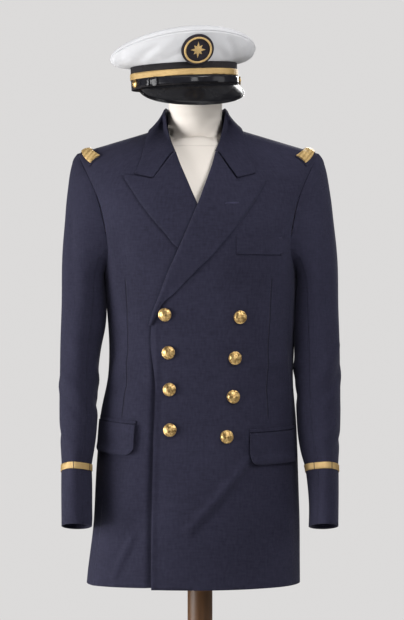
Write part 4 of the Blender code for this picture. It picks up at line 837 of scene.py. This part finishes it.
@dataclass
class Coat:
    """The double-breasted coat: panels, sleeves, collar, lapels, pockets, buttons, loops and lace."""

    dart_top: float = 1.175
    dart_foot: float = 0.918
    left_dart: tuple[float, float] = (0.121, 0.117)
    right_dart: tuple[float, float] = (-0.130, -0.134)
    front_half_width: float = 0.182
    front_setback: float = 0.02
    buttonhole: tuple[float, float] = (0.0575, 1.3065)
    buttonhole_length: float = 0.025
    buttonhole_half_width: float = 0.0016
    buttonhole_slope: float = 0.0006
    stitch_rise: float = 0.0006
    stitch_lift: float = 0.0003
    stitch_thickness: float = 0.0004

    def __post_init__(self) -> None:
        """Make the coat's finishes."""
        darts = tuple(((self.across(top), self.dart_top), (self.across(foot), self.dart_foot))
                      for top, foot in (self.left_dart, self.right_dart))
        self.front_wool = WoolTwill("front_wool", NAVY_LIGHT, NAVY_DARK, darts=darts).make()
        self.wool = WoolTwill("coat_wool", NAVY_LIGHT, NAVY_DARK).make()
        self.gilt = GiltBrass("struck_gilt").make()

    def across(self, x: float) -> float:
        """Return where a sideways place on the front lies across the weave map."""
        shape = SHAPES[Carrier.BODY]
        low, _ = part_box("coat_front_left" if x > 0 else "coat_front_right")
        share = (x - shape.middle[0]) / self.front_half_width
        depth = max(abs(low.y) - self.front_setback, 0.1) * math.sqrt(max(1 - share**2, 0.01))
        turn = math.atan2((x - shape.middle[0]) / shape.half_width, (depth + shape.middle[1]) / shape.half_depth)
        return turn * shape.wrap_radius

    def build(self) -> None:
        """Build every piece of the coat."""
        self.build_panels()
        self.build_sleeves()
        self.build_collar()
        self.build_pockets()
        self.build_buttons()
        self.build_loops()
        self.build_lace()
        self.build_buttonhole()

    def sew(self, node: str, cut: Cut, held: str, on: str, carrier: Carrier = Carrier.BODY, **more: object) -> None:
        """Build one piece of the coat's plain wool."""
        ClothPiece(node, cut, carrier, held, on, **more).build(self.wool, "navy_cloth")

    def build_panels(self) -> None:
        """Build the fronts, side bodies and backs."""
        for side, sign in zip(SIDES, (1, -1)):
            ClothPiece(f"coat_front_{side}", Cut(0.335, 0.870, 0.212), Carrier.BODY, "hung", "form_torso",
                       levels=3).build(self.front_wool, "navy_cloth")
            self.sew(f"coat_side_{side}", Cut(0.135, 0.620, 0.0740), "hung", "form_torso", levels=3,
                     laps=(Lap(1, SIDE_LAP), Lap(-1, SIDE_LAP)))
            self.sew(f"coat_back_{side}", Cut(0.235, 0.850, 0.158), "hung", "form_torso", levels=3,
                     laps=(Lap(sign, CENTRE_BACK_LAP), Lap(-sign, BACK_ARMHOLE_LAP)))

    def build_sleeves(self) -> None:
        """Build the top and under halves of both sleeves."""
        halves = (("top", Cut(0.225, 0.760, 0.126), "front"), ("under", Cut(0.140, 0.600, 0.066), "side"))
        for side, carrier in SLEEVES.items():
            for half, cut, panel in halves:
                self.sew(f"sleeve_{half}_{side}", cut, "hung", f"coat_{panel}_{side}_cloth", carrier, levels=3)

    def build_collar(self) -> None:
        """Build the collar and the two lapels."""
        for node, cut, panel, levels in (("collar", Cut(0.470, 0.105, 0.0398), "back_left", 3),
                                         ("lapel_left", Cut(0.105, 0.335, 0.0207), "front_left", 2),
                                         ("lapel_right", Cut(0.105, 0.200, 0.0159), "front_right", 2)):
            self.sew(node, cut, "folded", f"coat_{panel}_cloth", levels=levels)

    def build_pockets(self) -> None:
        """Build the flaps, their jetted strips and the breast welt."""
        cuts = {"left": (Cut(0.132, 0.058, 0.0072), Cut(0.132, 0.012, 0.00085)),
                "right": (Cut(0.118, 0.056, 0.0063), Cut(0.118, 0.012, 0.00078))}
        for side, (flap, jet) in cuts.items():
            on = f"coat_front_{side}_cloth"
            self.sew(f"flap_{side}", flap, "hung", on)
            self.sew(f"jet_{side}", jet, "folded", on)
        self.sew("breast_welt", Cut(0.098, 0.036, 0.0033), "laid", "coat_front_left_cloth")

    def build_buttons(self) -> None:
        """Build the eight coat buttons."""
        for number in range(1, 9):
            node = f"coat_button_{number}"
            out = button_axis(node)
            seat = node_frame(node, out)
            seat.translation += shift_at(seat.translation, Carrier.BODY)
            StruckButton().build(f"button_{number}", seat, self.gilt, node)

    def build_loops(self) -> None:
        """Build the shoulder loops: a cloth backing and diagonal gilt braid."""
        braid = MetalLace("loop_bullion", period=0.0074, angle=38, contrast=0.8, depth=0.0006).make()
        for side in SIDES:
            self.sew(f"loop_backing_{side}", Cut(0.024, 0.115, 0.0027), "laid", f"coat_front_{side}_cloth")
            item = rounded_copy(f"loop_braid_{side}_gilt", f"loop_braid_{side}", 2)
            wrap_map(item.data, None)
            dress(item, braid, [f"loop_braid_{side}"])

    def build_lace(self) -> None:
        """Build the cuff lace with its dark thread breaks."""
        radius = SHAPES[Carrier.SLEEVE_LEFT].wrap_radius
        breaks = {"left": (65, 123), "right": (83, 140)}
        for side, carrier in SLEEVES.items():
            places = tuple(math.radians(turn) * radius for turn in breaks[side])
            lace = MetalLace(f"cuff_lace_{side}", period=0.0018, angle=0, contrast=0.35, breaks=places).make()
            ClothPiece(f"sleeve_stripe_{side}", Cut(0.013, 0.300, 0.0037), carrier, "stretched",
                       f"sleeve_top_{side}_cloth").build(lace, "gold_braid")

    def build_buttonhole(self) -> None:
        """Build the worked buttonhole on the wearer's left lapel."""
        graph = bpy.context.evaluated_depsgraph_get()
        tree = BVHTree.FromObject(bpy.data.objects["lapel_left_cloth"], graph)
        shape = bmesh.new()
        half = self.buttonhole_length / 2
        bmesh.ops.create_grid(shape, x_segments=24, y_segments=4, size=0.5)
        for vert in shape.verts:
            across, upward = vert.co.x * 2, vert.co.y * 2
            taper = math.sqrt(max(1 - across**8, 0.05))
            x = self.buttonhole[0] + across * half
            z = (self.buttonhole[1] + upward * self.buttonhole_half_width * taper
                 + across * self.buttonhole_slope)
            hit, normal, _, _ = tree.ray_cast(Vector((x, -0.5, z)), Vector((0, 1, 0)))
            ridge = self.stitch_rise * (1 - (2 * abs(upward) - 1) ** 2) + self.stitch_lift
            vert.co = hit + normal * ridge
        bmesh.ops.solidify(shape, geom=shape.faces[:], thickness=-self.stitch_thickness)
        bmesh.ops.recalc_face_normals(shape, faces=shape.faces[:])
        item = to_mesh("lapel_buttonhole", shape)
        item.data.shade_smooth()
        wrap_map(item.data, None)
        thread = WoolTwill("buttonhole_silk", tuple(v * 1.9 for v in NAVY_LIGHT), NAVY_DARK, period=0.0009).make()
        dress(item, thread)


@dataclass
class PeakedCap:
    """The peaked cap: cotton cover, band, lace, strap, visor, badge and side buttons."""

    side_radius: float = 0.0080

    def build(self) -> None:
        """Build every piece of the cap."""
        self.build_cover()
        self.build_band()
        self.build_patent()
        self.build_badge()
        for side in SIDES:
            node = f"cap_button_{side}"
            out = button_axis(node)
            StruckButton(self.side_radius, 0.0052, 20).build(f"strap_button_{side}", node_frame(node, out),
                                                             GiltBrass(f"strap_gilt_{side}").make(), node)

    def build_cover(self) -> None:
        """Build the white cover's side and top."""
        cotton = PlainCotton("white_cotton", (0.62, 0.62, 0.635), (0.505, 0.505, 0.525)).make()
        for node, cut, under, keep in (("cap_side", Cut(0.050, 0.830, 0.0344), "cap_band_cloth", 1.0),
                                       ("cap_top", Cut(0.275, 0.265, 0.0600), "cap_side_cloth", 0.5)):
            ClothPiece(node, cut, Carrier.CAP, "stretched", under, keep=keep,
                       sharp=60.0).build(cotton, "white_cover")

    def build_band(self) -> None:
        """Build the dark band and the gold lace round it."""
        ribbed = WoolTwill("band_mohair", (0.024, 0.021, 0.022), (0.010, 0.009, 0.010), period=0.0011).make()
        ClothPiece("cap_band", Cut(0.0415, 0.640, 0.0265), Carrier.CAP, "stretched", "form_torso").build(
            ribbed, "cap_band_cloth")
        lace = MetalLace("cap_lace_gilt", period=0.0016, angle=0, contrast=0.3).make()
        ClothPiece("cap_lace", Cut(0.0115, 0.640, 0.00735), Carrier.CAP, "stretched", "cap_band_cloth").build(
            lace, "gold_braid")

    def build_patent(self) -> None:
        """Build the visor, its binding, the chin strap and its keepers."""
        visor = PatentLeather("visor_patent", (0.005, 0.005, 0.006), 0.9, 0.12).make()
        strap = PatentLeather("strap_patent", waviness=0.9, gloss=0.20).make()
        for node, finish, levels in (("cap_visor", visor, 2), ("cap_visor_rim", visor, 1), ("chin_strap", strap, 2),
                                     ("strap_keeper_1", strap, 2), ("strap_keeper_2", strap, 2)):
            item = rounded_copy(node + "_patent", node, levels)
            wrap_map(item.data, Carrier.CAP)
            dress(item, finish, [node])

    def build_badge(self) -> None:
        """Build the badge: a dark patch, a padded bullion ring and a star."""
        patch = WoolTwill("badge_felt", (0.030, 0.026, 0.034), (0.012, 0.010, 0.014), period=0.0010).make()
        bullion = MetalLace("badge_bullion", period=0.0022, angle=52, contrast=0.75, depth=0.0004).make()
        item = rounded_copy("badge_felt_patch", "badge_patch", 2)
        wrap_map(item.data, None)
        dress(item, patch, ["badge_patch"])
        for node in ("badge_ring", "badge_star"):
            item = rounded_copy(node + "_bullion", node, 2 if node == "badge_ring" else 0, 60.0)
            wrap_map(item.data, None)
            dress(item, bullion, [node])


@dataclass
class DressForm:
    """The limbless form: cream jersey torso with neck, pole and round base."""

    def build(self) -> None:
        """Build the form's pieces in place of their nodes."""
        jersey = PlainCotton("cream_jersey", (0.88, 0.82, 0.755), (0.81, 0.74, 0.67), period=0.0011,
                             neck_seam=1.4145).make()
        item = rounded_copy("form_torso_jersey", "form_torso", 2, 70.0)
        wrap_map(item.data, None)
        dress(item, jersey, ["form_torso"])
        pole = StainedWood("pole_wood").make()
        item = rounded_copy("form_pole_turned", "form_pole", 2, 60.0)
        dress(item, pole, ["form_pole"])
        base = StainedWood("base_wood", stretch=(0.06, 1.0, 1.0)).make()
        item = rounded_copy("form_base_turned", "form_base", 0, 30.0)
        dress(item, base, ["form_base"])


class Lamp(NamedTuple):
    """A soft round light: its place and width in metres, and its power in watts."""

    name: str
    place: tuple[float, float, float]
    width: float
    watts: float


@dataclass
class Studio:
    """The pale floor, the soft lights and the camera."""

    scale: float = 0.00185
    distance: float = 4.0
    picture_height: int = 620
    aim: tuple[float, float] = (0.0037, 1.115)
    film: float = 36.0
    floor_radius: float = 3.4
    floor_drop: float = 0.0005
    floor_dark: Colour = (0.74, 0.735, 0.725)
    floor_light: Colour = (0.78, 0.775, 0.765)
    backdrop: Colour = (0.715, 0.705, 0.700)
    room_colour: Colour = (1.0, 0.98, 0.96)
    room_light: float = 0.03
    lit: tuple[float, float, float] = (0.0, 0.0, 1.15)
    lamps: tuple[Lamp, ...] = (
        Lamp("left_side", (-2.6, -0.8, 1.0), 1.5, 84.0), Lamp("left_low", (-2.3, -1.6, 0.7), 1.0, 14.0),
        Lamp("right_side", (2.6, -0.6, 1.7), 1.5, 12.0), Lamp("right_cap", (0.9, -1.1, 2.2), 0.6, 14.0),
        Lamp("neck_fill", (0.7, -2.0, 1.45), 0.6, 8.0), Lamp("top", (0.0, -0.9, 3.2), 1.6, 18.0),
        Lamp("front_high", (0.0, -3.0, 3.4), 2.0, 8.0), Lamp("back", (0.6, 3.2, 2.4), 2.0, 90.0))

    def build(self) -> None:
        """Build the stage."""
        self.build_floor()
        self.build_lights()
        self.build_camera()

    def build_floor(self) -> None:
        """Build a wide plain floor under the object."""
        shape = bmesh.new()
        bmesh.ops.create_circle(shape, cap_ends=True, segments=96, radius=self.floor_radius)
        bmesh.ops.translate(shape, verts=shape.verts[:], vec=(0, 0, -self.floor_drop))
        floor = to_mesh("floor", shape)
        board = Board("floor_paint")
        colour = board.between(board.noise(1.5, 2.0), self.floor_dark, self.floor_light)
        floor.data.materials.append(board.finish({"Base Color": colour, "Roughness": 0.9}))

    def build_lights(self) -> None:
        """Build the soft lights and the pale surroundings."""
        world = bpy.data.worlds.new("surroundings")
        bpy.context.scene.world = world
        world.use_nodes = True
        tree = world.node_tree
        tree.nodes.clear()
        seen, cast = tree.nodes.new("ShaderNodeBackground"), tree.nodes.new("ShaderNodeBackground")
        seen.inputs["Color"].default_value = opaque(self.backdrop)
        cast.inputs["Color"].default_value = opaque(self.room_colour)
        cast.inputs["Strength"].default_value = self.room_light
        path, join = tree.nodes.new("ShaderNodeLightPath"), tree.nodes.new("ShaderNodeMixShader")
        output = tree.nodes.new("ShaderNodeOutputWorld")
        tree.links.new(path.outputs["Is Camera Ray"], join.inputs["Fac"])
        tree.links.new(cast.outputs["Background"], join.inputs[1])
        tree.links.new(seen.outputs["Background"], join.inputs[2])
        tree.links.new(join.outputs["Shader"], output.inputs["Surface"])
        for lamp in self.lamps:
            light = bpy.data.lights.new(lamp.name, "AREA")
            light.shape = "DISK"
            light.size = lamp.width
            light.energy = lamp.watts
            made = bpy.data.objects.new(lamp.name, light)
            made.location = lamp.place
            made.rotation_euler = (Vector(self.lit) - Vector(lamp.place)).to_track_quat("-Z", "Y").to_euler()
            bpy.context.scene.collection.objects.link(made)

    def build_camera(self) -> None:
        """Build the camera at the photograph's place."""
        lens = bpy.data.cameras.new("camera")
        lens.sensor_fit = "AUTO"
        lens.sensor_width = self.film
        lens.lens = self.film * (self.distance / self.scale) / self.picture_height
        camera = bpy.data.objects.new("camera", lens)
        camera.location = (self.aim[0], -self.distance, self.aim[1])
        camera.rotation_euler = (math.pi / 2, 0.0, 0.0)
        bpy.context.scene.collection.objects.link(camera)
        bpy.context.scene.camera = camera
        bpy.context.scene.view_settings.view_transform = "Standard"


def main() -> None:
    """Build the form, the coat, the cap and the studio."""
    logging.basicConfig(level=logging.INFO, format="%(message)s")
    for part in (DressForm(), Coat(), PeakedCap(), Studio()):
        part.build()
        LOG.info("%s is built", type(part).__name__)


if __name__ == "__main__":
    main()
